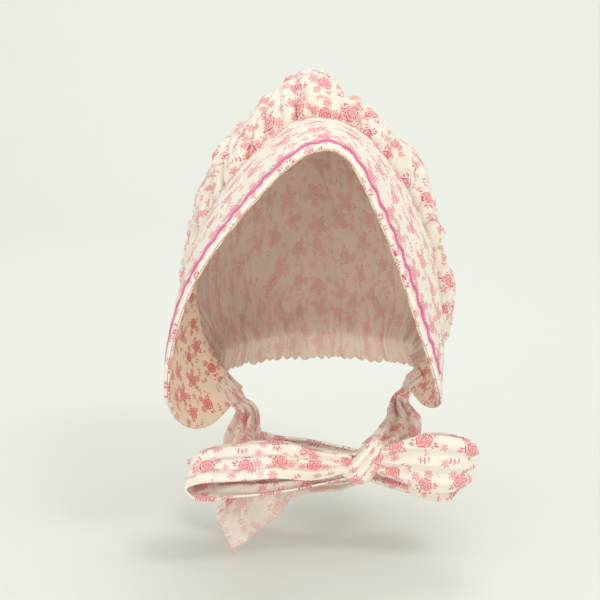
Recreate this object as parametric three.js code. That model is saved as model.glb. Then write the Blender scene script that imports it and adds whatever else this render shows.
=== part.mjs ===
// A prairie bonnet of printed cotton, as it is worn: a stiff brim of two cloth layers with a braid
// along its edge, a full crown gathered into the brim's back seam and drawn in again at the nape,
// and two ties that meet under the chin in a bow.
//
// Millimetres, +Z up. The wearer looks along -Y, and +X is to the right when the bonnet is seen from
// the front. The origin is the top of the head, where the crown sits.

import * as THREE from 'three';

// Driving sizes of the brim
const SEAM_HALF_WIDTH = 86; // half the width of the arch where the crown joins the brim
const SEAM_HEIGHT = 190; // from the arch's top to the jaw corners
const SEAM_TOP = 17; // how far the arch's top stands over the head
const SEAM_FORWARD = 20; // how far the arch's top lies in front of the origin
const SEAM_LEAN = 31; // how much further back the jaw corners are
const BRIM_DEPTH = 93; // from the seam to the front edge
const BRIM_HALF_LENGTH = 250; // along the brim from its ridge to a flap's end
const FLAP_FRONT_ROUND = 56; // how far a flap's round front corner cuts in, along the brim
const FLAP_BACK_ROUND = 5; // the same at the seam
const FLAP_LOWEST = 0.42; // share of the depth at which a flap hangs lowest
const BRIM_BOW = 5; // how far the brim bellies out between seam and edge
const OUTER_WALL = 1.4;
const LINING_WALL = 1.2;
const LAYER_GAP = 0.35; // between two layers that lie on each other
const EDGE_ROLL = 6; // width of the puffed roll along the brim's edge
const EDGE_ROLL_RISE = 0.8; // how far that roll stands up

// Driving sizes of the crown
const CROWN_WALL = 1.1;
const SEAM_GAP = 0.75; // between the gathered edge and the two layers that hold it
const SEAM_TUCK = 7; // how far the gathered edge reaches in between those layers
const CROWN_RISE = 30; // how far the crown puffs up over the arch's top
const CROWN_BACK = 146; // from the arch's top to the back of the crown
const CROWN_TALL = 205; // from the crown's top down to the nape
const CROWN_HALF_WIDTH = 98; // half the width of the crown's widest part
const CROWN_MIDDLE = [0, 35, -70]; // the place that the crown's soft cloth sinks towards
const CROWN_SLUMP = 15; // how far it sinks at most
const CROWN_DROOP_LEFT = 0.22; // how much more of that width hangs low than high, on each side
const CROWN_DROOP_RIGHT = 0.35;
const NAPE_FORWARD = 30; // from the jaw corner back to the end of the nape's gathers
const GATHERS = 30; // number of gathers along the seam
const GATHER_DEPTH = 5.5; // from a gather's crest to its valley, just behind the seam
const NAPE_GATHER_DEPTH = 4.5; // the same where the nape is drawn in
const FRILL = 20; // length of the frill under the nape

// Driving sizes of the braid and the ties
const BRAID_INSET = 9.5; // from the brim's edge to the middle of the braid
const BRAID_WIDTH = 3.6;
const BRAID_WAVE = 1.5; // how far the braid swings to each side
const BRAID_PITCH = 15; // length of one wave
const BRAID_WALL = 1.0;
const TIE_WALL = 1.1;
const TIE_WIDTH = 43;
const TIE_PLACE = 0.13; // share of the brim's depth where a tie is sewn to the flap's lower edge
const TIE_DROP = 3.1; // how far below the flap's end a tie starts
const KNOT_CENTRE = [29, -86, -203];
const KNOT_HALF_WIDTH = 8.5;
const KNOT_HALF_DEPTH = 9;
const KNOT_HALF_HEIGHT = 13;
const KNOT_LEAN = 28; // degrees that its top leans to the right
const KNOT_FOLD = 0.9; // depth of its folds
const LEFT_LOOP_REACH = 115;
const RIGHT_LOOP_REACH = 73;
const LEFT_TAIL_REACH = 101;
const RIGHT_TAIL_REACH = 72;

// How finely the cloth is faceted
const BRIM_STEPS = 44;
const BRIM_ROWS = [1, 0.955, 0.9, 0.8, 0.64, 0.42, 0.16, 0.08, 0];
const GATHER_STEPS = 4;
const CROWN_ROWS = [0.03, 0.09, 0.2, 0.35, 0.52, 0.7, 0.87, 1];

// The brim's two halves from the ridge (at 0) to the flap's end (at 1). Out is a share of the seam's
// half width and drop a share of its height, for the seam and for the front edge as if its corner
// were not rounded.
const LEFT_HALF = [
  { at: 0.00, seamOut: 0.000, seamDrop: 0.000, edgeOut: -0.03, edgeDrop: 0.037 },
  { at: 0.04, seamOut: 0.115, seamDrop: 0.007, edgeOut: 0.070, edgeDrop: 0.051 },
  { at: 0.10, seamOut: 0.280, seamDrop: 0.040, edgeOut: 0.230, edgeDrop: 0.098 },
  { at: 0.22, seamOut: 0.540, seamDrop: 0.160, edgeOut: 0.480, edgeDrop: 0.212 },
  { at: 0.35, seamOut: 0.770, seamDrop: 0.300, edgeOut: 0.715, edgeDrop: 0.347 },
  { at: 0.48, seamOut: 0.930, seamDrop: 0.450, edgeOut: 0.910, edgeDrop: 0.487 },
  { at: 0.61, seamOut: 1.000, seamDrop: 0.600, edgeOut: 1.060, edgeDrop: 0.640 },
  { at: 0.73, seamOut: 0.985, seamDrop: 0.750, edgeOut: 1.150, edgeDrop: 0.795 },
  { at: 0.85, seamOut: 0.880, seamDrop: 0.890, edgeOut: 1.175, edgeDrop: 0.947 },
  { at: 0.94, seamOut: 0.720, seamDrop: 0.985, edgeOut: 1.130, edgeDrop: 1.070 },
  { at: 1.00, seamOut: 0.570, seamDrop: 1.045, edgeOut: 1.070, edgeDrop: 1.150 },
];
const RIGHT_HALF = [
  { at: 0.00, seamOut: 0.000, seamDrop: 0.000, edgeOut: 0.030, edgeDrop: 0.037 },
  { at: 0.04, seamOut: 0.115, seamDrop: 0.007, edgeOut: 0.130, edgeDrop: 0.044 },
  { at: 0.10, seamOut: 0.280, seamDrop: 0.040, edgeOut: 0.250, edgeDrop: 0.092 },
  { at: 0.22, seamOut: 0.520, seamDrop: 0.150, edgeOut: 0.420, edgeDrop: 0.240 },
  { at: 0.35, seamOut: 0.730, seamDrop: 0.295, edgeOut: 0.560, edgeDrop: 0.390 },
  { at: 0.48, seamOut: 0.880, seamDrop: 0.440, edgeOut: 0.680, edgeDrop: 0.545 },
  { at: 0.61, seamOut: 0.950, seamDrop: 0.590, edgeOut: 0.780, edgeDrop: 0.690 },
  { at: 0.73, seamOut: 0.965, seamDrop: 0.735, edgeOut: 0.870, edgeDrop: 0.815 },
  { at: 0.85, seamOut: 0.920, seamDrop: 0.865, edgeOut: 0.920, edgeDrop: 0.915 },
  { at: 0.94, seamOut: 0.820, seamDrop: 0.950, edgeOut: 0.930, edgeDrop: 0.980 },
  { at: 1.00, seamOut: 0.700, seamDrop: 1.000, edgeOut: 0.920, edgeDrop: 1.020 },
];

// The crown's ribs from the seam (at 0) over the top and down the back to the nape (at 1). Back and
// drop place the rib's top as shares of CROWN_BACK and CROWN_TALL. Left, right and ends are half
// widths as shares of CROWN_HALF_WIDTH, ends being where the rib meets the neck edge. Gather and nape
// are shares of the two gather depths.
const CROWN_RIBS = [
  { at: 0.00, back: 0.00, drop: 0.146, left: 0.88, right: 0.86, ends: 0.56, gather: 0.00, nape: 0.00 },
  { at: 0.04, back: 0.03, drop: 0.088, left: 0.92, right: 0.91, ends: 0.62, gather: 0.80, nape: 0.00 },
  { at: 0.10, back: 0.10, drop: 0.029, left: 0.93, right: 0.95, ends: 0.66, gather: 1.00, nape: 0.00 },
  { at: 0.20, back: 0.26, drop: 0.000, left: 0.96, right: 0.98, ends: 0.70, gather: 0.80, nape: 0.00 },
  { at: 0.33, back: 0.50, drop: 0.018, left: 0.96, right: 1.00, ends: 0.72, gather: 0.45, nape: 0.00 },
  { at: 0.47, back: 0.76, drop: 0.102, left: 0.95, right: 0.99, ends: 0.72, gather: 0.25, nape: 0.10 },
  { at: 0.61, back: 0.94, drop: 0.334, left: 0.93, right: 0.98, ends: 0.71, gather: 0.10, nape: 0.25 },
  { at: 0.76, back: 1.00, drop: 0.590, left: 0.88, right: 0.92, ends: 0.70, gather: 0.00, nape: 0.45 },
  { at: 0.89, back: 0.90, drop: 0.829, left: 0.80, right: 0.83, ends: 0.69, gather: 0.00, nape: 0.80 },
  { at: 1.00, back: 0.70, drop: 0.983, left: 0.72, right: 0.74, ends: 0.68, gather: 0.00, nape: 1.00 },
];
// How far the soft crown sinks between its puffs, as a share of the slump; u runs along the seam.
const CROWN_PUFFS = [
  { at: -1.00, sunk: 0.00 },
  { at: -0.60, sunk: 0.09 },
  { at: -0.42, sunk: 0.08 },
  { at: -0.35, sunk: 0.17 },
  { at: -0.27, sunk: 0.40 },
  { at: -0.18, sunk: 0.30 },
  { at: -0.12, sunk: 0.34 },
  { at: -0.08, sunk: 0.18 },
  { at: -0.02, sunk: 0.15 },
  { at: 0.03, sunk: 0.27 },
  { at: 0.07, sunk: 0.72 },
  { at: 0.12, sunk: 1.00 },
  { at: 0.19, sunk: 0.80 },
  { at: 0.27, sunk: 0.66 },
  { at: 0.34, sunk: 0.56 },
  { at: 0.41, sunk: 0.20 },
  { at: 0.47, sunk: 0.10 },
  { at: 0.53, sunk: 0.30 },
  { at: 0.61, sunk: 0.58 },
  { at: 0.69, sunk: 0.60 },
  { at: 0.75, sunk: 0.33 },
  { at: 0.81, sunk: 0.04 },
  { at: 1.00, sunk: 0.00 },
];

// The ties and the bow's pieces along their middle lines. The loops' and tails' x, y and z are shares
// of their reach from the knot's centre. Wide is a share of TIE_WIDTH, turn is the turn of the width
// about the line in degrees and pleat is the depth of the pleats as a share of TIE_WIDTH.
const LEFT_LOOP = [
  { at: 0.00, x: -0.094, y: -0.02, z: 0.00, wide: 0.26, turn: -75, pleat: 0.040 },
  { at: 0.10, x: -0.26, y: -0.08, z: 0.01, wide: 0.48, turn: -58, pleat: 0.040 },
  { at: 0.22, x: -0.48, y: -0.13, z: 0.04, wide: 0.80, turn: -38, pleat: 0.030 },
  { at: 0.34, x: -0.72, y: -0.15, z: 0.02, wide: 1.00, turn: -28, pleat: 0.015 },
  { at: 0.45, x: -0.92, y: -0.15, z: -0.01, wide: 1.00, turn: -20, pleat: 0.010 },
  { at: 0.51, x: -1.00, y: -0.14, z: -0.05, wide: 1.00, turn: 0, pleat: 0.000 },
  { at: 0.57, x: -0.95, y: -0.12, z: -0.095, wide: 1.00, turn: 16, pleat: 0.000 },
  { at: 0.70, x: -0.70, y: -0.11, z: -0.11, wide: 0.92, turn: 25, pleat: 0.010 },
  { at: 0.86, x: -0.38, y: -0.07, z: -0.10, wide: 0.50, turn: 50, pleat: 0.030 },
  { at: 1.00, x: -0.11, y: 0.00, z: -0.06, wide: 0.20, turn: 70, pleat: 0.040 },
];
const RIGHT_LOOP = [
  { at: 0.00, x: 0.155, y: -0.05, z: 0.01, wide: 0.30, turn: 0, pleat: 0.040 },
  { at: 0.12, x: 0.33, y: -0.15, z: 0.03, wide: 0.66, turn: 8, pleat: 0.050 },
  { at: 0.26, x: 0.58, y: -0.24, z: 0.04, wide: 1.00, turn: 12, pleat: 0.045 },
  { at: 0.40, x: 0.86, y: -0.24, z: 0.03, wide: 0.92, turn: 12, pleat: 0.040 },
  { at: 0.50, x: 1.00, y: -0.15, z: 0.01, wide: 0.66, turn: 12, pleat: 0.030 },
  { at: 0.60, x: 0.92, y: -0.04, z: 0.00, wide: 0.80, turn: 12, pleat: 0.030 },
  { at: 0.76, x: 0.62, y: 0.01, z: 0.00, wide: 0.90, turn: 12, pleat: 0.035 },
  { at: 0.90, x: 0.34, y: 0.02, z: -0.01, wide: 0.56, turn: 6, pleat: 0.040 },
  { at: 1.00, x: 0.155, y: 0.04, z: -0.02, wide: 0.26, turn: 0, pleat: 0.040 },
];
const LEFT_TAIL = [
  { at: 0.00, x: -0.06, y: 0.06, z: -0.135, wide: 0.24, turn: 84, pleat: 0.040 },
  { at: 0.15, x: -0.16, y: 0.21, z: -0.185, wide: 0.36, turn: 86, pleat: 0.035 },
  { at: 0.32, x: -0.36, y: 0.35, z: -0.205, wide: 0.56, turn: 88, pleat: 0.025 },
  { at: 0.50, x: -0.55, y: 0.37, z: -0.250, wide: 0.72, turn: 90, pleat: 0.010 },
  { at: 0.64, x: -0.68, y: 0.25, z: -0.325, wide: 0.80, turn: 92, pleat: 0.000 },
  { at: 0.78, x: -0.79, y: 0.08, z: -0.410, wide: 0.82, turn: 92, pleat: 0.000 },
  { at: 0.90, x: -0.82, y: -0.03, z: -0.485, wide: 0.60, turn: 90, pleat: 0.000 },
  { at: 1.00, x: -0.80, y: -0.10, z: -0.560, wide: 0.12, turn: 90, pleat: 0.000 },
];
const RIGHT_TAIL = [
  { at: 0.00, x: 0.075, y: 0.085, z: -0.145, wide: 0.22, turn: 0, pleat: 0.040 },
  { at: 0.30, x: 0.36, y: 0.17, z: -0.17, wide: 0.55, turn: 0, pleat: 0.030 },
  { at: 0.65, x: 0.66, y: 0.18, z: -0.16, wide: 0.92, turn: 0, pleat: 0.010 },
  { at: 0.88, x: 0.86, y: 0.16, z: -0.17, wide: 0.85, turn: 0, pleat: 0.000 },
  { at: 1.00, x: 0.96, y: 0.12, z: -0.18, wide: 0.30, turn: 0, pleat: 0.000 },
];
// The ties from the flap's lower edge to the knot: x, y and z are shares of that way. Flap, side and
// up say how much the width points along the flap's edge, sideways and upwards.
const LEFT_TIE = [
  { at: 0.00, x: 0.00, y: 0.00, z: 0.00, wide: 0.30, pleat: 0.000, flap: 1.0, side: 0.0, up: 0.0 },
  { at: 0.15, x: 0.07, y: 0.06, z: 0.36, wide: 0.36, pleat: 0.010, flap: 0.9, side: -0.2, up: 0.0 },
  { at: 0.33, x: 0.05, y: 0.25, z: 0.86, wide: 0.54, pleat: 0.020, flap: 0.3, side: -1.0, up: 0.0 },
  { at: 0.50, x: 0.06, y: 0.47, z: 1.12, wide: 0.64, pleat: 0.020, flap: 0.0, side: -1.0, up: -0.3 },
  { at: 0.66, x: 0.27, y: 0.68, z: 1.10, wide: 0.56, pleat: 0.025, flap: 0.0, side: -0.6, up: -1.0 },
  { at: 0.83, x: 0.60, y: 0.83, z: 0.88, wide: 0.42, pleat: 0.035, flap: 0.0, side: -0.2, up: -1.0 },
  { at: 1.00, x: 0.88, y: 0.94, z: 0.82, wide: 0.30, pleat: 0.040, flap: 0.0, side: 0.0, up: -1.0 },
];
const RIGHT_TIE = [
  { at: 0.00, x: 0.00, y: 0.00, z: 0.00, wide: 0.30, pleat: 0.000, flap: 1.0, side: 0.0, up: 0.0 },
  { at: 0.16, x: 0.18, y: 0.05, z: 0.28, wide: 0.33, pleat: 0.010, flap: 0.9, side: 0.2, up: 0.0 },
  { at: 0.38, x: 0.10, y: 0.28, z: 0.46, wide: 0.56, pleat: 0.020, flap: 0.3, side: 1.0, up: 0.0 },
  { at: 0.61, x: 0.24, y: 0.56, z: 0.68, wide: 0.64, pleat: 0.025, flap: 0.0, side: 1.0, up: -0.4 },
  { at: 0.83, x: 0.56, y: 0.79, z: 0.76, wide: 0.46, pleat: 0.035, flap: 0.0, side: 0.6, up: -1.0 },
  { at: 1.00, x: 0.815, y: 0.90, z: 0.78, wide: 0.30, pleat: 0.040, flap: 0.0, side: 0.4, up: -1.0 },
];

// A smooth value between a table's rows.
function along(rows, key, at) {
  const last = rows.length - 1;
  let i = 0;
  while (i < last - 1 && at > rows[i + 1].at) i += 1;
  const slope = (k) => {
    const a = rows[Math.max(k - 1, 0)];
    const b = rows[Math.min(k + 1, last)];
    return (b[key] - a[key]) / (b.at - a.at);
  };
  const step = rows[i + 1].at - rows[i].at;
  const t = (at - rows[i].at) / step;
  const t2 = t * t;
  const t3 = t2 * t;
  return (
    (2 * t3 - 3 * t2 + 1) * rows[i][key] +
    (t3 - 2 * t2 + t) * step * slope(i) +
    (3 * t2 - 2 * t3) * rows[i + 1][key] +
    (t3 - t2) * step * slope(i + 1)
  );
}

const mix = (a, b, t) => a + (b - a) * t;

const UP = new THREE.Vector3(0, 0, 1);
const SIDEWAYS = new THREE.Vector3(1, 0, 0);
const FORWARDS = new THREE.Vector3(0, -1, 0);

function ease(t) {
  const c = Math.min(Math.max(t, 0), 1);
  return c * c * (3 - 2 * c);
}

// Where the arch's seam runs; s goes from -1 at the left flap to 1 at the right one.
function seamPoint(s) {
  const half = s < 0 ? LEFT_HALF : RIGHT_HALF;
  const at = Math.abs(s);
  const drop = along(half, 'seamDrop', at);
  const x = Math.sign(s) * along(half, 'seamOut', at) * SEAM_HALF_WIDTH;
  return new THREE.Vector3(x, -SEAM_FORWARD + SEAM_LEAN * drop, SEAM_TOP - drop * SEAM_HEIGHT);
}

// The front edge lies one brim depth from the seam.
function edgePoint(s) {
  const half = s < 0 ? LEFT_HALF : RIGHT_HALF;
  const at = Math.abs(s);
  const side = s < 0 ? -1 : 1;
  const seam = seamPoint(s);
  const x = side * along(half, 'edgeOut', at) * SEAM_HALF_WIDTH;
  const z = SEAM_TOP - along(half, 'edgeDrop', at) * SEAM_HEIGHT;
  const across = Math.hypot(x - seam.x, z - seam.z);
  return new THREE.Vector3(x, seam.y - Math.sqrt(BRIM_DEPTH ** 2 - across ** 2), z);
}

// How far along its length the brim reaches at depth d.
function brimReach(d) {
  if (d > FLAP_LOWEST) {
    const t = (d - FLAP_LOWEST) / (1 - FLAP_LOWEST);
    return 1 - (FLAP_FRONT_ROUND / BRIM_HALF_LENGTH) * (1 - Math.sqrt(1 - Math.min(t, 1) ** 2));
  }
  const t = (FLAP_LOWEST - d) / FLAP_LOWEST;
  return 1 - (FLAP_BACK_ROUND / BRIM_HALF_LENGTH) * t * t;
}

// The brim's middle surface: u runs along it from -1 to 1, d from the seam (0) to the edge (1), and
// rise is how far the point lies outside that surface.
function brimPoint(u, d, rise = 0) {
  const s = u * brimReach(d);
  const seam = seamPoint(s);
  const edge = edgePoint(s);
  const step = 0.01;
  const run = seamPoint(Math.min(s + step, 1)).sub(seamPoint(Math.max(s - step, -1)));
  const out = edge.clone().sub(seam).cross(run).normalize();
  const bow = BRIM_BOW * Math.sin(Math.PI * Math.min(Math.max(d, 0), 1));
  return seam.lerp(edge, d).addScaledVector(out, bow + rise);
}

// A surface point's outward direction, from its neighbours in the grid.
function gridNormals(grid) {
  const rows = grid.length - 1;
  const columns = grid[0].length - 1;
  return grid.map((row, i) =>
    row.map((point, j) => {
      const across = row[Math.min(j + 1, columns)].clone().sub(row[Math.max(j - 1, 0)]);
      const down = grid[Math.min(i + 1, rows)][j].clone().sub(grid[Math.max(i - 1, 0)][j]);
      return across.cross(down).normalize();
    }),
  );
}

// A closed solid between two offsets of a grid of points.
function layer(grid, lower, upper) {
  const normals = gridNormals(grid);
  const rows = grid.length;
  const columns = grid[0].length;
  const positions = [];
  for (const offset of [upper, lower]) {
    for (let i = 0; i < rows; i += 1) {
      for (let j = 0; j < columns; j += 1) {
        const p = grid[i][j].clone().addScaledVector(normals[i][j], offset(i, j));
        positions.push(p.x, p.y, p.z);
      }
    }
  }
  const top = (i, j) => i * columns + j;
  const under = (i, j) => rows * columns + i * columns + j;
  const index = [];
  const quad = (a, b, c, d) => index.push(a, b, c, a, c, d);
  for (let i = 0; i < rows - 1; i += 1) {
    for (let j = 0; j < columns - 1; j += 1) {
      quad(top(i, j), top(i, j + 1), top(i + 1, j + 1), top(i + 1, j));
      quad(under(i, j), under(i + 1, j), under(i + 1, j + 1), under(i, j + 1));
    }
  }
  for (let j = 0; j < columns - 1; j += 1) {
    quad(top(0, j + 1), top(0, j), under(0, j), under(0, j + 1));
    quad(top(rows - 1, j), top(rows - 1, j + 1), under(rows - 1, j + 1), under(rows - 1, j));
  }
  for (let i = 0; i < rows - 1; i += 1) {
    quad(top(i, 0), top(i + 1, 0), under(i + 1, 0), under(i, 0));
    quad(top(i + 1, columns - 1), top(i, columns - 1), under(i, columns - 1), under(i + 1, columns - 1));
  }
  return closedBody(positions, index);
}

// A geometry whose faces look outwards.
function closedBody(positions, index) {
  const corner = (k) => new THREE.Vector3().fromArray(positions, index[k] * 3);
  let volume = 0;
  for (let k = 0; k < index.length; k += 3) {
    volume += corner(k).dot(corner(k + 1).cross(corner(k + 2)));
  }
  const faces = volume > 0 ? index : index.slice().reverse();
  const geometry = new THREE.BufferGeometry();
  geometry.setAttribute('position', new THREE.Float32BufferAttribute(positions, 3));
  geometry.setIndex(faces);
  geometry.computeVertexNormals();
  return geometry;
}

function brimGrid() {
  return BRIM_ROWS.map((d) => {
    const row = [];
    for (let j = 0; j <= BRIM_STEPS; j += 1) row.push(brimPoint((2 * j) / BRIM_STEPS - 1, d));
    return row;
  });
}

// Half the room between the brim's two layers: wider at the seam, where they hold the crown's edge.
function brimRoom(d) {
  const held = CROWN_WALL / 2 + SEAM_GAP;
  const free = LAYER_GAP / 2;
  return mix(held, free, ease((d * BRIM_DEPTH - SEAM_TUCK - 1) / SEAM_TUCK));
}

const edgeRoll = (d) => EDGE_ROLL_RISE * ease(1 - ((1 - d) * BRIM_DEPTH) / EDGE_ROLL);

function brimOuter() {
  const lower = (i) => brimRoom(BRIM_ROWS[i]);
  const upper = (i) => brimRoom(BRIM_ROWS[i]) + OUTER_WALL + edgeRoll(BRIM_ROWS[i]);
  return layer(brimGrid(), lower, upper);
}

function brimLining() {
  const lower = (i) => -brimRoom(BRIM_ROWS[i]) - LINING_WALL;
  const upper = (i) => -brimRoom(BRIM_ROWS[i]);
  return layer(brimGrid(), lower, upper);
}

// A rib of the crown: a horseshoe from the neck edge over the head and down again.
function ribPoint(u, v) {
  const rib = (key) => along(CROWN_RIBS, key, v);
  const top = {
    y: -SEAM_FORWARD + rib('back') * CROWN_BACK,
    z: SEAM_TOP + CROWN_RISE - rib('drop') * CROWN_TALL,
  };
  const side = u < 0 ? -1 : 1;
  const jaw = seamPoint(side);
  const corner = seamPoint(side * brimReach(0));
  const foot = {
    y: corner.y + NAPE_FORWARD * v ** 0.6,
    z: mix(corner.z, jaw.z + 12, v),
  };
  const wide = (u < 0 ? rib('left') : rib('right')) * CROWN_HALF_WIDTH;
  const ends = rib('ends') * CROWN_HALF_WIDTH;
  const turnEnd = Math.PI - Math.asin(Math.min(ends / wide, 1));
  const tall = Math.hypot(top.y - foot.y, top.z - foot.z);
  const half = tall / (1 - Math.cos(turnEnd));
  const turn = turnEnd * Math.abs(u);
  const up = (tall - half + half * Math.cos(turn)) / tall;
  const droop = (u < 0 ? CROWN_DROOP_LEFT : CROWN_DROOP_RIGHT) * (1 - v) * (1 - u ** 4);
  const x = side * wide * Math.sin(turn) * (1 - droop * Math.cos(turn));
  return new THREE.Vector3(x, mix(foot.y, top.y, up), mix(foot.z, top.z, up));
}

// The crown's smooth surface, which follows the seam exactly where it leaves it.
function crownPoint(u, v) {
  const seam = brimPoint(u, 0);
  const away = seam.sub(ribPoint(u, 0));
  const point = ribPoint(u, v).addScaledVector(away, 1 - ease(v / 0.4));
  const sunk = along(CROWN_PUFFS, 'sunk', u) * ease((v - 0.04) / 0.16) * ease((0.9 - v) / 0.4);
  const inwards = new THREE.Vector3(...CROWN_MIDDLE).sub(point).normalize();
  return point.addScaledVector(inwards, CROWN_SLUMP * sunk);
}

// Gathers are closest over the head, and no two are quite alike.
function gatherPlace(u) {
  return u - (0.14 * Math.sin(2 * Math.PI * u)) / (2 * Math.PI) + 0.006 * Math.sin(23 * u);
}

const gatherSize = (u) => 1 + 0.22 * Math.sin(17 * u + 0.6) + 0.12 * Math.sin(41 * u);

function crownGrid() {
  const columns = GATHERS * GATHER_STEPS;
  const places = [];
  for (let j = 0; j <= columns; j += 1) {
    const u = (2 * j) / columns - 1;
    places.push(j === 0 || j === columns ? u : gatherPlace(u));
  }
  const tucked = places.map((u) => brimPoint(u, SEAM_TUCK / BRIM_DEPTH));
  const leaving = places.map((u) => brimPoint(u, -1.5 / BRIM_DEPTH));
  const smooth = CROWN_ROWS.map((v) => places.map((u) => crownPoint(u, v)));
  const normals = gridNormals(smooth);
  const wave = (j) => 0.5 * Math.cos((2 * Math.PI * j) / GATHER_STEPS);
  const gathered = smooth.map((row, i) =>
    row.map((point, j) => {
      const v = CROWN_ROWS[i];
      const ends = ease((1 - Math.abs(places[j])) / 0.12);
      const depth =
        along(CROWN_RIBS, 'gather', v) * GATHER_DEPTH + along(CROWN_RIBS, 'nape', v) * NAPE_GATHER_DEPTH;
      const swing = wave(j) * depth * gatherSize(places[j]) * ends;
      return point.clone().addScaledVector(normals[i][j], swing);
    }),
  );
  const lastRow = smooth[smooth.length - 1];
  const frill = lastRow.map((point, j) => {
    const u = places[j];
    const length = FRILL * mix(0.35, 1, ease((1 - Math.abs(u)) / 0.35));
    const out = new THREE.Vector3(point.x * 0.1, 0.28 * length, 0).setLength(0.28 * length);
    const swing = wave(j) * NAPE_GATHER_DEPTH * 1.3 * ease((1 - Math.abs(u)) / 0.03);
    const down = new THREE.Vector3(0, 0, -0.95 * length);
    return point.clone().add(out).add(down).addScaledVector(normals[smooth.length - 1][j], swing);
  });
  return [tucked, leaving, ...gathered, frill];
}

function crown() {
  const half = CROWN_WALL / 2;
  return layer(crownGrid(), () => -half, () => half);
}

// The braid's wavy strip on the brim, as far as the flaps' round corners.
function braid() {
  const reach = brimReach(1);
  const length = 2 * reach * BRIM_HALF_LENGTH;
  const waves = Math.round(length / BRAID_PITCH);
  const steps = waves * 4;
  const grid = [0.5, -0.5].map((side) => {
    const row = [];
    for (let j = 0; j <= steps; j += 1) {
      const swing = BRAID_WAVE * Math.sin((j * Math.PI) / 2);
      const inset = BRAID_INSET + swing - side * BRAID_WIDTH;
      const d = 1 - inset / BRIM_DEPTH;
      const u = ((2 * j) / steps - 1) * (reach / brimReach(d));
      row.push(brimPoint(u, d));
    }
    return row;
  });
  const rest = brimRoom(1) + OUTER_WALL + LAYER_GAP;
  return layer(grid, () => rest, () => rest + BRAID_WALL);
}

// A strip of hemmed cloth along a line of rows; place gives a row's point and side its width's way.
function strip(rows, steps, columns, place, side) {
  const grid = [];
  for (let i = 0; i <= steps; i += 1) {
    const at = i / steps;
    const point = place(at);
    const run = place(Math.min(at + 0.01, 1)).sub(place(Math.max(at - 0.01, 0))).normalize();
    const across = side(at, run);
    across.addScaledVector(run, -across.dot(run)).normalize();
    const out = run.clone().cross(across);
    const wide = along(rows, 'wide', at) * TIE_WIDTH;
    const pleat = along(rows, 'pleat', at) * TIE_WIDTH;
    const row = [];
    for (let j = 0; j <= columns; j += 1) {
      const swing = (j % 2 ? 1 : -1) * pleat * 0.5;
      row.push(
        point.clone().addScaledVector(across, (j / columns - 0.5) * wide).addScaledVector(out, swing),
      );
    }
    grid.push(row);
  }
  return layer(grid, () => -TIE_WALL / 2, () => TIE_WALL / 2);
}

// A loop or tail of the bow, its width turned about its line from the given way.
function bowPiece(rows, reach, steps, way) {
  const place = (at) =>
    new THREE.Vector3(
      KNOT_CENTRE[0] + along(rows, 'x', at) * reach,
      KNOT_CENTRE[1] + along(rows, 'y', at) * reach,
      KNOT_CENTRE[2] + along(rows, 'z', at) * reach,
    );
  const side = (at, run) => {
    const across = way.clone().addScaledVector(run, -way.dot(run)).normalize();
    return across.applyAxisAngle(run, THREE.MathUtils.degToRad(along(rows, 'turn', at)));
  };
  return strip(rows, steps, 6, place, side);
}

function tie(rows, sign, steps) {
  const end = sign * (1 + TIE_DROP / BRIM_HALF_LENGTH);
  const start = brimPoint(end, TIE_PLACE);
  const flap = brimPoint(end, 2 * TIE_PLACE).sub(brimPoint(end, 0)).normalize();
  const place = (at) =>
    new THREE.Vector3(
      mix(start.x, KNOT_CENTRE[0], along(rows, 'x', at)),
      mix(start.y, KNOT_CENTRE[1], along(rows, 'y', at)),
      mix(start.z, KNOT_CENTRE[2], along(rows, 'z', at)),
    );
  const side = (at) => {
    const across = flap.clone().multiplyScalar(along(rows, 'flap', at));
    across.addScaledVector(SIDEWAYS, along(rows, 'side', at));
    return across.addScaledVector(UP, along(rows, 'up', at));
  };
  return strip(rows, steps, 6, place, side);
}

// The knot: a small cushion with slanting folds.
function knot() {
  const rounds = 20;
  const rings = 8;
  const positions = [];
  const place = (x, y, z) => {
    const p = new THREE.Vector3(x, y, z);
    p.applyAxisAngle(new THREE.Vector3(0, 1, 0), THREE.MathUtils.degToRad(KNOT_LEAN));
    positions.push(p.x + KNOT_CENTRE[0], p.y + KNOT_CENTRE[1], p.z + KNOT_CENTRE[2]);
  };
  place(0, 0, KNOT_HALF_HEIGHT);
  for (let i = 1; i < rings; i += 1) {
    const tilt = (i * Math.PI) / rings;
    for (let j = 0; j < rounds; j += 1) {
      const turn = (2 * Math.PI * j) / rounds;
      const fold = (j % 2 ? -KNOT_FOLD : KNOT_FOLD) * Math.sin(tilt);
      const wide = (KNOT_HALF_WIDTH + fold) * Math.sqrt(Math.sin(tilt));
      const deep = (KNOT_HALF_DEPTH + fold) * Math.sqrt(Math.sin(tilt));
      place(wide * Math.cos(turn), deep * Math.sin(turn), KNOT_HALF_HEIGHT * Math.cos(tilt));
    }
  }
  place(0, 0, -KNOT_HALF_HEIGHT);
  const end = 1 + (rings - 1) * rounds;
  const index = [];
  for (let j = 0; j < rounds; j += 1) {
    const next = (j + 1) % rounds;
    index.push(0, 1 + j, 1 + next);
    for (let i = 0; i < rings - 2; i += 1) {
      const a = 1 + i * rounds;
      const b = a + rounds;
      index.push(a + j, b + j, b + next, a + j, b + next, a + next);
    }
    const last = end - rounds;
    index.push(end, last + next, last + j);
  }
  return closedBody(positions, index);
}


function piece(name, geometry, colour) {
  const material = new THREE.MeshStandardMaterial({ color: colour, roughness: 0.9, metalness: 0 });
  const mesh = new THREE.Mesh(geometry, material);
  mesh.name = name;
  return mesh;
}

const PRINT = 0xf2dfd8;
const LINING = 0xecd2c6;
const PINK = 0xee70a8;

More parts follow.
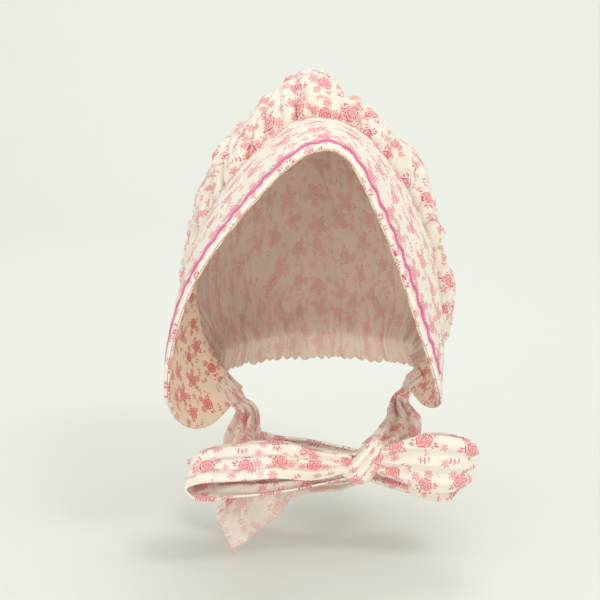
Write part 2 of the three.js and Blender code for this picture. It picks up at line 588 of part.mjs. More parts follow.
const bonnet = new THREE.Group();
bonnet.name = 'prairie_bonnet';
bonnet.add(
  piece('crown', crown(), PRINT),
  piece('brim', brimOuter(), PRINT),
  piece('brim_lining', brimLining(), LINING),
  piece('rickrack', braid(), PINK),
  piece('tie_left', tie(LEFT_TIE, -1, 12), PRINT),
  piece('tie_right', tie(RIGHT_TIE, 1, 11), PRINT),
  piece('bow_knot', knot(), PRINT),
  piece('bow_loop_left', bowPiece(LEFT_LOOP, LEFT_LOOP_REACH, 18, FORWARDS), PRINT),
  piece('bow_loop_right', bowPiece(RIGHT_LOOP, RIGHT_LOOP_REACH, 16, UP), PRINT),
  piece('bow_tail_left', bowPiece(LEFT_TAIL, LEFT_TAIL_REACH, 11, FORWARDS), PRINT),
  piece('bow_tail_right', bowPiece(RIGHT_TAIL, RIGHT_TAIL_REACH, 8, UP), PRINT),
);

export default bonnet;
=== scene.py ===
"""A prairie bonnet's looks: printed cotton, a stiff braided brim, a gathered crown and a bow."""

import math
from functools import partialmethod

import bpy
import numpy as np
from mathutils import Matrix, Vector


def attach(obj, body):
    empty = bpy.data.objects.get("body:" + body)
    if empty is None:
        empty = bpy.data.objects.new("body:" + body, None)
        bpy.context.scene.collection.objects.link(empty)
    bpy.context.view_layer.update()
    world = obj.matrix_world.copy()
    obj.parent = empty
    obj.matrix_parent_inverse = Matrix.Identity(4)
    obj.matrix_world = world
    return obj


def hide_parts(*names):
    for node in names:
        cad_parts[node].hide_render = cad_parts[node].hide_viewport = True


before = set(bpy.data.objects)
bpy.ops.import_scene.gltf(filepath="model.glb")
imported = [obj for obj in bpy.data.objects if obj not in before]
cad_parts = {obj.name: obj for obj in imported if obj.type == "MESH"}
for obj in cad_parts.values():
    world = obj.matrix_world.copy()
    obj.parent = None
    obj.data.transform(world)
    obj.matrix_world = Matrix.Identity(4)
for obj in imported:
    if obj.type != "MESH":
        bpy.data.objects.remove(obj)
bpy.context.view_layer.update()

MM = 0.001

# Sizes in millimetres and angles in degrees, as in the solids. BRAID_WIDTH, KNOT_LEAN, LEFT_LOOP,
# LEFT_TAIL and the rows at the knot's end of the ties and RIGHT_LOOP were fitted to the photo later.
SEAM_HALF_WIDTH, SEAM_HEIGHT, SEAM_TOP = 86, 190, 17
SEAM_FORWARD, SEAM_LEAN = 20, 31
BRIM_DEPTH, BRIM_HALF_LENGTH = 93, 250
FLAP_FRONT_ROUND, FLAP_BACK_ROUND, FLAP_LOWEST = 56, 5, 0.42
BRIM_BOW = 5
OUTER_WALL, LINING_WALL, LAYER_GAP = 1.4, 1.2, 0.35
CROWN_WALL, SEAM_GAP, SEAM_TUCK = 1.1, 0.75, 7
CROWN_RISE, CROWN_BACK, CROWN_TALL, CROWN_HALF_WIDTH = 30, 146, 205, 98
CROWN_DROOP_LEFT, CROWN_DROOP_RIGHT = 0.22, 0.35
CROWN_MIDDLE, CROWN_SLUMP = np.array([0.0, 35.0, -70.0]), 15
NAPE_FORWARD, NAPE_LIFT, FRILL = 30, 12, 20
BRAID_INSET, BRAID_WIDTH, BRAID_WAVE, BRAID_PITCH = 9.5, 4.2, 1.5, 15
TIE_WIDTH, TIE_PLACE = 43, 0.13
KNOT_CENTRE = np.array([29.0, -86.0, -203.0])
KNOT_HALF = np.array([8.5, 9.0, 13.0])
KNOT_LEAN = 37
LEFT_LOOP_REACH, RIGHT_LOOP_REACH, LEFT_TAIL_REACH, RIGHT_TAIL_REACH = 115, 73, 101, 72

# Columns: at, seam out, seam drop, edge out, edge drop
LEFT_HALF = np.array([
    (0, 0, 0, -0.03, 0.037), (0.04, 0.115, 0.007, 0.07, 0.051),
    (0.1, 0.28, 0.04, 0.23, 0.098), (0.22, 0.54, 0.16, 0.48, 0.212),
    (0.35, 0.77, 0.3, 0.715, 0.347), (0.48, 0.93, 0.45, 0.91, 0.487),
    (0.61, 1, 0.6, 1.06, 0.64), (0.73, 0.985, 0.75, 1.15, 0.795),
    (0.85, 0.88, 0.89, 1.175, 0.947), (0.94, 0.72, 0.985, 1.13, 1.07),
    (1, 0.57, 1.045, 1.07, 1.15)])
RIGHT_HALF = np.array([
    (0, 0, 0, 0.03, 0.037), (0.04, 0.115, 0.007, 0.13, 0.044),
    (0.1, 0.28, 0.04, 0.25, 0.092), (0.22, 0.52, 0.15, 0.42, 0.24),
    (0.35, 0.73, 0.295, 0.56, 0.39), (0.48, 0.88, 0.44, 0.68, 0.545),
    (0.61, 0.95, 0.59, 0.78, 0.69), (0.73, 0.965, 0.735, 0.87, 0.815),
    (0.85, 0.92, 0.865, 0.92, 0.915), (0.94, 0.82, 0.95, 0.93, 0.98),
    (1, 0.7, 1, 0.92, 1.02)])
# Columns: at, back, drop, left, right, ends
CROWN_RIBS = np.array([
    (0, 0, 0.146, 0.88, 0.86, 0.56), (0.04, 0.03, 0.088, 0.92, 0.91, 0.62),
    (0.1, 0.1, 0.029, 0.93, 0.95, 0.66), (0.2, 0.26, 0, 0.96, 0.98, 0.7),
    (0.33, 0.5, 0.018, 0.96, 1, 0.72), (0.47, 0.76, 0.102, 0.95, 0.99, 0.72),
    (0.61, 0.94, 0.334, 0.93, 0.98, 0.71), (0.76, 1, 0.59, 0.88, 0.92, 0.7),
    (0.89, 0.9, 0.829, 0.8, 0.83, 0.69), (1, 0.7, 0.983, 0.72, 0.74, 0.68)])
# Columns: along the seam, sunk
CROWN_PUFFS = np.array([
    (-1, 0), (-0.6, 0.09), (-0.42, 0.08), (-0.35, 0.17), (-0.27, 0.4), (-0.18, 0.3),
    (-0.12, 0.34), (-0.08, 0.18), (-0.02, 0.15), (0.03, 0.27), (0.07, 0.72), (0.12, 1),
    (0.19, 0.8), (0.27, 0.66), (0.34, 0.56), (0.41, 0.2), (0.47, 0.1), (0.53, 0.3),
    (0.61, 0.58), (0.69, 0.6), (0.75, 0.33), (0.81, 0.04), (1, 0)])
# Columns: at, x, y, z, wide, turn, pleat
LEFT_LOOP = np.array([
    (0, -0.055, -0.02, 0, 0.26, -75, 0.04), (0.1, -0.26, -0.08, 0.01, 0.48, -58, 0.04),
    (0.22, -0.48, -0.13, 0.06, 0.7, -38, 0.03), (0.34, -0.72, -0.15, 0.05, 0.82, -28, 0.02),
    (0.45, -0.92, -0.15, 0.02, 0.8, -20, 0.015), (0.51, -1, -0.14, -0.04, 0.88, 0, 0.01),
    (0.57, -0.95, -0.12, -0.088, 0.94, 16, 0), (0.7, -0.7, -0.11, -0.08, 0.8, 25, 0.01),
    (0.86, -0.38, -0.07, -0.075, 0.44, 50, 0.03), (1, -0.06, 0, -0.06, 0.2, 70, 0.04)])
RIGHT_LOOP = np.array([
    (0, 0.1, -0.05, 0.01, 0.3, 0, 0.04), (0.12, 0.33, -0.15, 0.03, 0.66, 8, 0.05),
    (0.26, 0.58, -0.24, 0.04, 1, 12, 0.045), (0.4, 0.86, -0.24, 0.03, 0.92, 12, 0.04),
    (0.5, 1, -0.15, 0.01, 0.66, 12, 0.03), (0.6, 0.92, -0.04, 0, 0.8, 12, 0.03),
    (0.76, 0.62, 0.01, 0, 0.9, 12, 0.035), (0.9, 0.34, 0.02, -0.01, 0.56, 6, 0.04),
    (1, 0.1, 0.04, -0.02, 0.26, 0, 0.04)])
LEFT_TAIL = np.array([
    (0, -0.06, 0.06, -0.135, 0.24, 84, 0.04), (0.15, -0.16, 0.21, -0.185, 0.36, 86, 0.035),
    (0.32, -0.36, 0.35, -0.205, 0.56, 88, 0.025), (0.5, -0.55, 0.37, -0.25, 0.72, 90, 0.01),
    (0.64, -0.67, 0.27, -0.33, 0.82, 90, 0), (0.8, -0.795, 0.14, -0.392, 0.84, 90, 0),
    (0.9, -0.862, 0.07, -0.43, 0.84, 87, 0), (1, -0.93, 0.03, -0.462, 0.83, 84, 0)])
RIGHT_TAIL = np.array([
    (0, 0.075, 0.085, -0.145, 0.22, 0, 0.04), (0.3, 0.36, 0.17, -0.17, 0.55, 0, 0.03),
    (0.65, 0.66, 0.18, -0.16, 0.92, 0, 0.01), (0.88, 0.86, 0.16, -0.17, 0.85, 0, 0),
    (1, 0.96, 0.12, -0.18, 0.3, 0, 0)])
# Columns: at, x, y, z, wide, pleat, flap, side, up
LEFT_TIE = np.array([
    (0, 0, 0, 0, 0.3, 0, 1, 0, 0),
    (0.15, 0.07, 0.06, 0.36, 0.36, 0.01, 0.9, -0.2, 0),
    (0.33, 0.05, 0.25, 0.86, 0.54, 0.02, 0.3, -1, 0),
    (0.5, 0.06, 0.47, 1.12, 0.64, 0.02, 0, -1, -0.3),
    (0.66, 0.27, 0.68, 1.1, 0.56, 0.025, 0, -0.6, -1),
    (0.83, 0.6, 0.83, 0.88, 0.42, 0.035, 0, -0.2, -1),
    (1, 0.965, 0.975, 0.82, 0.26, 0.04, 0, 0, -1)])
RIGHT_TIE = np.array([
    (0, 0, 0, 0, 0.3, 0, 1, 0, 0),
    (0.16, 0.18, 0.05, 0.28, 0.33, 0.01, 0.9, 0.2, 0),
    (0.38, 0.1, 0.28, 0.46, 0.56, 0.02, 0.3, 1, 0),
    (0.61, 0.24, 0.56, 0.68, 0.64, 0.025, 0, 1, -0.4),
    (0.83, 0.56, 0.79, 0.76, 0.46, 0.035, 0, 0.6, -1),
    (1, 0.88, 0.93, 0.8, 0.28, 0.04, 0, 0.4, -1)])


def along(rows, column, at):
    """A smooth value between a table's rows."""
    at = np.asarray(at, float)
    x, y = rows[:, 0], rows[:, column]
    slope = np.empty(len(x))
    slope[1:-1] = (y[2:] - y[:-2]) / (x[2:] - x[:-2])
    slope[0] = (y[1] - y[0]) / (x[1] - x[0])
    slope[-1] = (y[-1] - y[-2]) / (x[-1] - x[-2])
    i = np.clip(np.searchsorted(x, at, side="right") - 1, 0, len(x) - 2)
    step = x[i + 1] - x[i]
    t = (at - x[i]) / step
    t2, t3 = t * t, t * t * t
    return (
        (2 * t3 - 3 * t2 + 1) * y[i]
        + (t3 - 2 * t2 + t) * step * slope[i]
        + (3 * t2 - 2 * t3) * y[i + 1]
        + (t3 - t2) * step * slope[i + 1]
    )


def ease(t):
    c = np.clip(t, 0, 1)
    return c * c * (3 - 2 * c)


def unit(v):
    return v / np.maximum(np.linalg.norm(v, axis=-1, keepdims=True), 1e-9)


def both_sides(s, column):
    at = np.abs(s)
    return np.where(s < 0, along(LEFT_HALF, column, at), along(RIGHT_HALF, column, at))


def seam_point(s):
    drop = both_sides(s, 2)
    x = np.sign(s) * both_sides(s, 1) * SEAM_HALF_WIDTH
    return np.stack([x, -SEAM_FORWARD + SEAM_LEAN * drop, SEAM_TOP - drop * SEAM_HEIGHT], -1)


def edge_point(s):
    seam = seam_point(s)
    x = np.where(s < 0, -1, 1) * both_sides(s, 3) * SEAM_HALF_WIDTH
    z = SEAM_TOP - both_sides(s, 4) * SEAM_HEIGHT
    across = np.hypot(x - seam[..., 0], z - seam[..., 2])
    return np.stack([x, seam[..., 1] - np.sqrt(BRIM_DEPTH**2 - across**2), z], -1)


def brim_reach(d):
    t = np.clip((d - FLAP_LOWEST) / (1 - FLAP_LOWEST), 0, 1)
    back = np.clip((FLAP_LOWEST - d) / FLAP_LOWEST, 0, None)
    cut = FLAP_FRONT_ROUND * (1 - np.sqrt(1 - t * t)) + FLAP_BACK_ROUND * back * back
    return 1 - cut / BRIM_HALF_LENGTH


def brim_point(u, d, rise=0.0):
    s = u * brim_reach(d)
    seam, edge = seam_point(s), edge_point(s)
    run = seam_point(np.minimum(s + 0.01, 1)) - seam_point(np.maximum(s - 0.01, -1))
    out = unit(np.cross(edge - seam, run))
    bow = BRIM_BOW * np.sin(np.pi * np.clip(d, 0, 1)) + rise
    return seam + (edge - seam) * np.asarray(d)[..., None] + out * bow[..., None]


def brim_room(d):
    held, free = CROWN_WALL / 2 + SEAM_GAP, LAYER_GAP / 2
    return held + (free - held) * ease((d * BRIM_DEPTH - SEAM_TUCK - 1) / SEAM_TUCK)


def rib_point(u, v):
    side = np.where(u < 0, -1.0, 1.0)
    top_y = -SEAM_FORWARD + along(CROWN_RIBS, 1, v) * CROWN_BACK
    top_z = SEAM_TOP + CROWN_RISE - along(CROWN_RIBS, 2, v) * CROWN_TALL
    jaw, corner = seam_point(side), seam_point(side * brim_reach(np.zeros_like(v)))
    foot_y = corner[..., 1] + NAPE_FORWARD * np.clip(v, 0, None) ** 0.6
    foot_z = corner[..., 2] + (jaw[..., 2] + NAPE_LIFT - corner[..., 2]) * v
    wide = np.where(u < 0, along(CROWN_RIBS, 3, v), along(CROWN_RIBS, 4, v)) * CROWN_HALF_WIDTH
    ends = along(CROWN_RIBS, 5, v) * CROWN_HALF_WIDTH
    turn_end = np.pi - np.arcsin(np.minimum(ends / wide, 1))
    tall = np.hypot(top_y - foot_y, top_z - foot_z)
    half = tall / (1 - np.cos(turn_end))
    turn = turn_end * np.abs(u)
    up = (tall - half + half * np.cos(turn)) / tall
    droop = np.where(u < 0, CROWN_DROOP_LEFT, CROWN_DROOP_RIGHT) * (1 - v) * (1 - u**4)
    x = side * wide * np.sin(turn) * (1 - droop * np.cos(turn))
    return np.stack([x, foot_y + (top_y - foot_y) * up, foot_z + (top_z - foot_z) * up], -1)


def crown_point(u, v):
    away = brim_point(u, np.zeros_like(v)) - rib_point(u, np.zeros_like(v))
    point = rib_point(u, v) + away * (1 - ease(v / 0.4))[..., None]
    sunk = along(CROWN_PUFFS, 1, u) * ease((v - 0.04) / 0.16) * ease((0.9 - v) / 0.4)
    return point + unit(CROWN_MIDDLE - point) * (CROWN_SLUMP * sunk)[..., None]


def normals_of(grid):
    return unit(np.cross(np.gradient(grid, axis=1), np.gradient(grid, axis=0)))


def ripple(x, y, seed, count=10, low=0.3, high=1.0):
    """Soft, irregular waves of about unit height over two coordinates that are counted in waves."""
    rng = np.random.default_rng(seed)
    total = np.zeros(np.broadcast(x, y).shape)
    for _ in range(count):
        angle, pace = rng.uniform(0, 2 * np.pi), rng.uniform(low, high)
        phase = rng.uniform(0, 2 * np.pi)
        total = total + np.sin(2 * np.pi * pace * (x * np.cos(angle) + y * np.sin(angle)) + phase)
    return total / math.sqrt(count / 2)


def face_outwards(mesh):
    """Turns a closed mesh's faces round if they look inwards."""
    points = np.array([v.co for v in mesh.vertices])
    mesh.calc_loop_triangles()
    tri = np.array([t.vertices for t in mesh.loop_triangles])
    a, b, c = points[tri[:, 0]], points[tri[:, 1]], points[tri[:, 2]]
    if float(np.einsum("ij,ij->", a, np.cross(b, c))) < 0:
        mesh.flip_normals()


def add_piece(name, mesh):
    mesh.shade_smooth()
    piece = bpy.data.objects.new(name, mesh)
    bpy.context.scene.collection.objects.link(piece)
    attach(piece, "root")
    return piece


def quads(a, b, c, d):
    return np.stack([a, b, c, d], -1).reshape(-1, 4)


def shell(name, grid, lower, upper, uv, front, back):
    """A closed sheet between two offsets of a grid, with print places in millimetres as its UVs."""
    rows, columns = grid.shape[:2]
    normal = normals_of(grid)
    top = grid + normal * np.broadcast_to(upper, (rows, columns))[..., None]
    under = grid + normal * np.broadcast_to(lower, (rows, columns))[..., None]
    points = np.concatenate([top.reshape(-1, 3), under.reshape(-1, 3)]) * MM
    index = np.arange(rows * columns).reshape(rows, columns)
    low = index + rows * columns
    faces = [
        quads(index[:-1, :-1], index[:-1, 1:], index[1:, 1:], index[1:, :-1]),
        quads(low[:-1, :-1], low[1:, :-1], low[1:, 1:], low[:-1, 1:]),
        quads(index[0, 1:], index[0, :-1], low[0, :-1], low[0, 1:]),
        quads(index[-1, :-1], index[-1, 1:], low[-1, 1:], low[-1, :-1]),
        quads(index[:-1, 0], index[1:, 0], low[1:, 0], low[:-1, 0]),
        quads(index[1:, -1], index[:-1, -1], low[:-1, -1], low[1:, -1]),
    ]
    backs = np.concatenate([np.full(len(f), k == 1) for k, f in enumerate(faces)])
    faces = np.concatenate(faces)
    mesh = bpy.data.meshes.new(name)
    mesh.from_pydata(points.tolist(), [], faces.tolist())
    mesh.materials.append(front)
    mesh.materials.append(back)
    mesh.polygons.foreach_set("material_index", backs.astype(np.int32))
    flat = np.concatenate([uv.reshape(-1, 2)] * 2)
    layer = mesh.uv_layers.new(name="print")
    layer.data.foreach_set("uv", (flat[faces.reshape(-1)]).astype(np.float32).ravel())
    face_outwards(mesh)
    return add_piece(name, mesh)


def arcs(grid, axis, start):
    """Lengths along a grid's lines, counted from the start line."""
    step = np.linalg.norm(np.diff(grid, axis=axis), axis=-1)
    total = np.concatenate([np.zeros_like(np.take(step, [0], axis)), np.cumsum(step, axis)], axis)
    return total - np.take(total, [start], axis)


def crumple(x, y, seed, size):
    """Soft cloth folds of about unit height: ridges with sharp valleys, over millimetres."""
    bend_x = x + 0.5 * size * ripple(x / size, y / size, seed + 1, 6, 0.2, 0.6)
    bend_y = y + 0.5 * size * ripple(x / size, y / size, seed + 2, 6, 0.2, 0.6)
    rng = np.random.default_rng(seed)
    total = 0.0
    for _ in range(5):
        angle, phase = rng.uniform(0, np.pi), rng.uniform(0, 2 * np.pi)
        wave = np.sin(np.pi / size * (bend_x * np.cos(angle) + bend_y * np.sin(angle)) + phase)
        total = total + (1 - np.abs(wave)) ** 1.5 - 0.36
    return total / 2


# ---- Cloth materials ----


class Value:
    """A number in a node tree, which sums and products can be written with."""

    def __init__(self, net, socket):
        self.net, self.socket = net, socket

    def do(self, operation, *others, clamp=False):
        return self.net.math(operation, self, *others, clamp=clamp)

    __add__, __sub__ = partialmethod(do, "ADD"), partialmethod(do, "SUBTRACT")
    __mul__, __truediv__ = partialmethod(do, "MULTIPLY"), partialmethod(do, "DIVIDE")
    __mod__, __abs__ = partialmethod(do, "FLOORED_MODULO"), partialmethod(do, "ABSOLUTE")
    sin, cos = partialmethod(do, "SINE"), partialmethod(do, "COSINE")
    floor, most = partialmethod(do, "FLOOR"), partialmethod(do, "MAXIMUM")

    def __rsub__(self, other):
        return self.net.math("SUBTRACT", other, self)

    def ramp(self, low, high):
        """0 at low and 1 at high, straight between and level outside."""
        rate = 1 / (high - low)
        return self.do("MULTIPLY_ADD", rate, -low * rate, clamp=True)


class Net:
    """A node tree, and short ways to put nodes into it."""

    def __init__(self, tree):
        self.nodes, self.links = tree.nodes, tree.links

    def put(self, socket, value):
        if isinstance(value, Value):
            self.links.new(value.socket, socket)
        elif isinstance(value, bpy.types.NodeSocket):
            self.links.new(value, socket)
        else:
            socket.default_value = value

    def operate(self, kind, operation, values):
        node = self.nodes.new(kind)
        node.operation = operation
        for socket, value in zip(node.inputs, values):
            self.put(socket, value)
        return node

    def math(self, operation, *values, clamp=False):
        node = self.operate("ShaderNodeMath", operation, values)
        node.use_clamp = clamp
        return Value(self, node.outputs[0])

    def vector(self, operation, *values):
        return self.operate("ShaderNodeVectorMath", operation, values).outputs[0]

    def scaled(self, vector, rate):
        node = self.operate("ShaderNodeVectorMath", "SCALE", [vector])
        node.inputs["Scale"].default_value = rate
        return node.outputs[0]

    def split(self, vector):
        node = self.nodes.new("ShaderNodeSeparateXYZ")
        self.put(node.inputs[0], vector)
        return [Value(self, s) for s in node.outputs]

    def noise(self, vector, scale, detail=2.0, rough=0.5, output="Fac"):
        node = self.nodes.new("ShaderNodeTexNoise")
        values = {"Vector": vector, "Scale": scale, "Detail": detail, "Roughness": rough}
        for name, value in values.items():
            self.put(node.inputs[name], value)
        return Value(self, node.outputs[output])

    def mix(self, factor, a, b):
        """One colour in another; the node's own factor and colours are its inputs 0, 6 and 7."""
        node = self.nodes.new("ShaderNodeMix")
        node.data_type = "RGBA"
        for socket, value in zip((node.inputs[k] for k in (0, 6, 7)), (factor, a, b)):
            self.put(socket, value)
        return node.outputs[2]


def near(distance, half, soft):
    """1 within half of a line and 0 beyond half and soft."""
    return abs(distance).ramp(half + soft, half)


def cells(net, place, size, randomness, shift):
    """The nearest motif's own place: distance and angle from its middle, and three chances."""
    moved = net.vector("ADD", net.scaled(place, 1 / size), shift)
    node = net.nodes.new("ShaderNodeTexVoronoi")
    node.voronoi_dimensions, node.feature = "2D", "F1"
    net.put(node.inputs["Vector"], moved)
    node.inputs["Scale"].default_value = 1
    node.inputs["Randomness"].default_value = randomness
    local = net.scaled(net.vector("SUBTRACT", moved, node.outputs["Position"]), size)
    x, y, _ = net.split(local)
    chances = net.split(node.outputs["Color"])
    distance = net.math("SQRT", x * x + y * y)
    angle = net.math("ARCTAN2", y, x) + chances[0] * (2 * math.pi)
    return distance, angle, chances


def sectors(net, angle, distance, count):
    """A place folded into one of count equal sectors, with the sector's middle along x."""
    sector = 2 * math.pi / count
    turned = angle + 4 * math.pi
    folded = (turned % sector) - sector / 2
    return distance * folded.cos(), distance * folded.sin(), (turned / sector).floor()


def leaf(x, y, start, length, half):
    """A filled leaf along x."""
    t = (x - start) / length
    side = abs(y) - t * (1 - t) * (4 * half)
    return side.ramp(0.12, -0.12) * t.ramp(0.0, 0.05) * t.ramp(1.0, 0.95)


def daisy(net, x, y, size, count):
    """A little flower of narrow petals round an open heart: its petals' ink and their wash."""
    distance = net.math("SQRT", x * x + y * y)
    px, py, _ = sectors(net, net.math("ARCTAN2", y, x), distance, count)
    long, wide = (px - size * 0.64) / (size * 0.38), py / (size * 0.21)
    oval = long * long + wide * wide
    fill = oval.ramp(1.15, 0.75)
    heart = near(distance - size * 0.17, 0.08, 0.16)
    return (fill * oval.ramp(0.15, 0.6)).most(heart), fill


# The print, in millimetres: how far apart its motifs lie, and their least radius
ROSE_PITCH, ROSE_SIZE = 24.0, 4.5
FLOWER_AWAY, FLOWER_SIZE = 8.1, 3.4
SMALL_PITCH, SMALL_SIZE = 11.5, 3.0
# A place beside a rose holds a sprig if its draw is below the first, a flower if above the second
SPRIG_BELOW, FLOWER_ABOVE = 0.29, 0.45


def print_group():
    """A small print of roses with little flowers and leaves, over a place in millimetres."""
    tree = bpy.data.node_groups.new("rose_print", "ShaderNodeTree")
    for name, way, kind in (
            ("Place", "INPUT", "Vector"), ("Ink", "OUTPUT", "Float"), ("Wash", "OUTPUT", "Float")):
        tree.interface.new_socket(name, in_out=way, socket_type="NodeSocket" + kind)
    net = Net(tree)
    start = tree.nodes.new("NodeGroupInput").outputs["Place"]
    end = tree.nodes.new("NodeGroupOutput")
    wobble = net.noise(start, 0.4, output="Color")
    wobble = net.scaled(net.vector("SUBTRACT", wobble, (0.5, 0.5, 0.5)), 0.9)
    place = net.vector("ADD", start, wobble)

    # A rose: rings of broken petal lines round a coiled heart
    r, a, chance = cells(net, place, ROSE_PITCH, 0.42, (0.3, 0.7, 0))
    size = chance[1] + ROSE_SIZE
    outer = r - size * (abs((a * 2.5).cos()) * 0.17 + 0.83)
    within = outer.ramp(0.05, -0.1)
    middle = r - size * (abs((a * 2.5 + 0.9).sin()) * 0.13 + 0.58)
    inner = r - size * (abs((a * 1.5 + 0.3).cos()) * 0.12 + 0.32)
    broken = (a * 5 + 0.6).cos().ramp(-0.95, -0.7)
    coil = near((((r / (size * 0.2) - a / (2 * math.pi)) % 1.0) - 0.5) * size * 0.2, 0.08, 0.26)
    rim = near(outer, 0.30, 0.3) * (a * 5 + 2.8).cos().ramp(-1.0, -0.8)
    rose_ink = rim.most(near(middle, 0.20, 0.3) * broken)
    rose_ink = rose_ink.most(near(inner, 0.16, 0.26)).most(coil * inner.ramp(0.0, -0.2))
    parting = near((a * 2.5 + r * 0.16).cos() * r * 0.4, 0.10, 0.3)
    parting = parting * middle.ramp(0.2, 0.5) * outer.ramp(0.0, -0.4)
    rose_ink = rose_ink.most(parting * 0.8)
    rose_wash = within * (outer.ramp(-1.6, 0.0) * 0.5 + 0.35).most(middle.ramp(0.0, -0.5) * 0.75)

    # Round it, each of five places holds a little flower, a sprig of leaves or nothing
    x, y, which = sectors(net, a, r, 5)
    draw = ((which * 12.9898 + chance[2] * 78.233).sin() * 43758.5) % 1.0
    flower_ink, flower_wash = daisy(net, x - FLOWER_AWAY, y, FLOWER_SIZE, 7)
    has_flower = draw.ramp(FLOWER_ABOVE - 0.01, FLOWER_ABOVE)
    pair = leaf(x, abs(y) - 1.25 - (x - 5.5) * 0.35, 5.3, 2.9, 0.62)
    tip = leaf(x, y + (x - 6.5) * 0.25, 6.3, 3.4, 0.85)
    has_sprig = draw.ramp(SPRIG_BELOW + 0.01, SPRIG_BELOW)
    clear = outer.ramp(0.1, 0.35)
    fill = pair.most(tip) * has_sprig * clear
    around_ink = (flower_ink * has_flower * clear).most(fill * 0.8)
    around_wash = (flower_wash * has_flower * clear).most(fill)
    bloom_ink, bloom_wash = rose_ink.most(around_ink), rose_wash.most(around_wash * 0.8)
    free = r.ramp(10.2, 11.8)

    # Between the roses, single little flowers and bent sprigs
    r, a, chance = cells(net, place, SMALL_PITCH, 0.7, (4.1, 2.2, 0))
    x, y = r * a.cos(), r * a.sin()
    small_ink, small_wash = daisy(net, x, y, SMALL_SIZE, 6)
    is_flower = chance[2].ramp(0.5, 0.51)
    bent = y + x * x * 0.09
    stem = near(bent, 0.10, 0.2) * abs(x).ramp(4.2, 4.0)
    side_x = ((x + 8) % 2.6) - 1.3
    twig = leaf(abs(bent), side_x + abs(bent) * 0.35, 0.05, 2.1, 0.52) * abs(x).ramp(4.0, 3.8)
    is_sprig = chance[2].ramp(0.49, 0.48)
    other_ink = (small_ink * is_flower).most(stem.most(twig * 0.85) * is_sprig) * free
    other_wash = (small_wash * is_flower).most(twig * is_sprig) * free

    net.put(end.inputs["Ink"], bloom_ink.most(other_ink))
    net.put(end.inputs["Wash"], bloom_wash.most(other_wash * 0.8))
    return tree


PRINT = print_group()


def new_cloth(name):
    """A new material, its net, its shader and the socket that gives places in the print."""
    material = bpy.data.materials.new(name)
    material.use_nodes = True
    net = Net(material.node_tree)
    net.nodes.clear()
    shader = net.nodes.new("ShaderNodeBsdfPrincipled")
    out = net.nodes.new("ShaderNodeOutputMaterial")
    net.links.new(shader.outputs[0], out.inputs["Surface"])
    place = net.nodes.new("ShaderNodeUVMap")
    place.uv_map = "print"
    return material, net, shader, place.outputs[0]


def dress(net, shader, colour, height, depth, rough, sheen):
    """Gives a cloth its colour, its relief and its shine."""
    bump = net.nodes.new("ShaderNodeBump")
    bump.inputs["Distance"].default_value = depth
    net.put(bump.inputs["Height"], height)
    net.put(shader.inputs["Base Color"], colour)
    net.put(shader.inputs["Normal"], bump.outputs[0])
    shader.inputs["Roughness"].default_value = rough
    shader.inputs["Sheen Weight"].default_value = sheen


def cotton(name, ground, ink_colour, wash_colour, strength, shift=(0, 0, 0)):
    """Printed plain-weave cotton; strength is how much of the print shows on this side."""
    material, net, shader, place = new_cloth(name)
    uv = net.vector("ADD", place, shift)
    x, y, _ = net.split(uv)
    motif = net.nodes.new("ShaderNodeGroup")
    motif.node_tree = PRINT
    net.put(motif.inputs[0], uv)
    ink, wash = Value(net, motif.outputs["Ink"]), Value(net, motif.outputs["Wash"])
    uneven, fine = net.noise(uv, 0.09, 3.0), net.noise(uv, 1.7)
    patchy = fine * 0.35 + uneven * 0.35 + 0.65
    warp, weft = (
        net.noise(net.vector("MULTIPLY", uv, way), 1.0, 1.0)
        for way in ((3.1, 0.12, 1), (0.12, 3.1, 1)))
    shade = (warp + weft - 1.0) * 0.16 + (uneven - 0.5) * 0.10 + 0.5
    deep = tuple(c * 0.90 for c in ground[:3]) + (1,)
    pale = tuple(min(1, c * 1.05) for c in ground[:3]) + (1,)
    colour = net.mix(shade, deep, pale)
    colour = net.mix(wash * patchy * (0.80 * strength), colour, wash_colour)
    colour = net.mix(ink * patchy * (0.95 * strength), colour, ink_colour)
    threads = (x * (2 * math.pi / THREAD_PITCH)).sin() * (y * (2 * math.pi / THREAD_PITCH)).sin()
    crease = net.noise(uv, 0.16, 4.0, 0.55)
    height = threads * 0.035 + crease * 0.55 + (warp + weft) * 0.05
    dress(net, shader, colour, height, depth=0.001, rough=0.88, sheen=0.25)
    shader.inputs["Specular IOR Level"].default_value = 0.25
    shader.inputs["Sheen Roughness"].default_value = 0.5
    return material


THREAD_PITCH = 0.9
CREAM, INK, WASH = (0.87, 0.785, 0.68, 1), (0.73, 0.095, 0.15, 1), (0.88, 0.42, 0.41, 1)
SHOWS_THROUGH = 0.42
face = cotton("printed_cotton", CREAM, INK, WASH, 1.0)
reverse = cotton("printed_cotton_reverse", CREAM, INK, WASH, SHOWS_THROUGH)
# The crown's inner face is the same cotton with a darker, warmer ground: painted warm shade inside
# the crown.
inside = cotton("printed_cotton_inside_painted_shade", (0.86, 0.72, 0.60, 1), INK, WASH, SHOWS_THROUGH)
# The lining is the same printed cotton, given a darker, warmer ground and deeper ink and wash:
# painted warm shade under the brim.
lining_painted_shade = cotton(
    "lining_cotton", (0.92, 0.74, 0.58, 1), (0.62, 0.035, 0.045, 1), (0.83, 0.21, 0.17, 1), 1.0,
    (37, 59, 0))


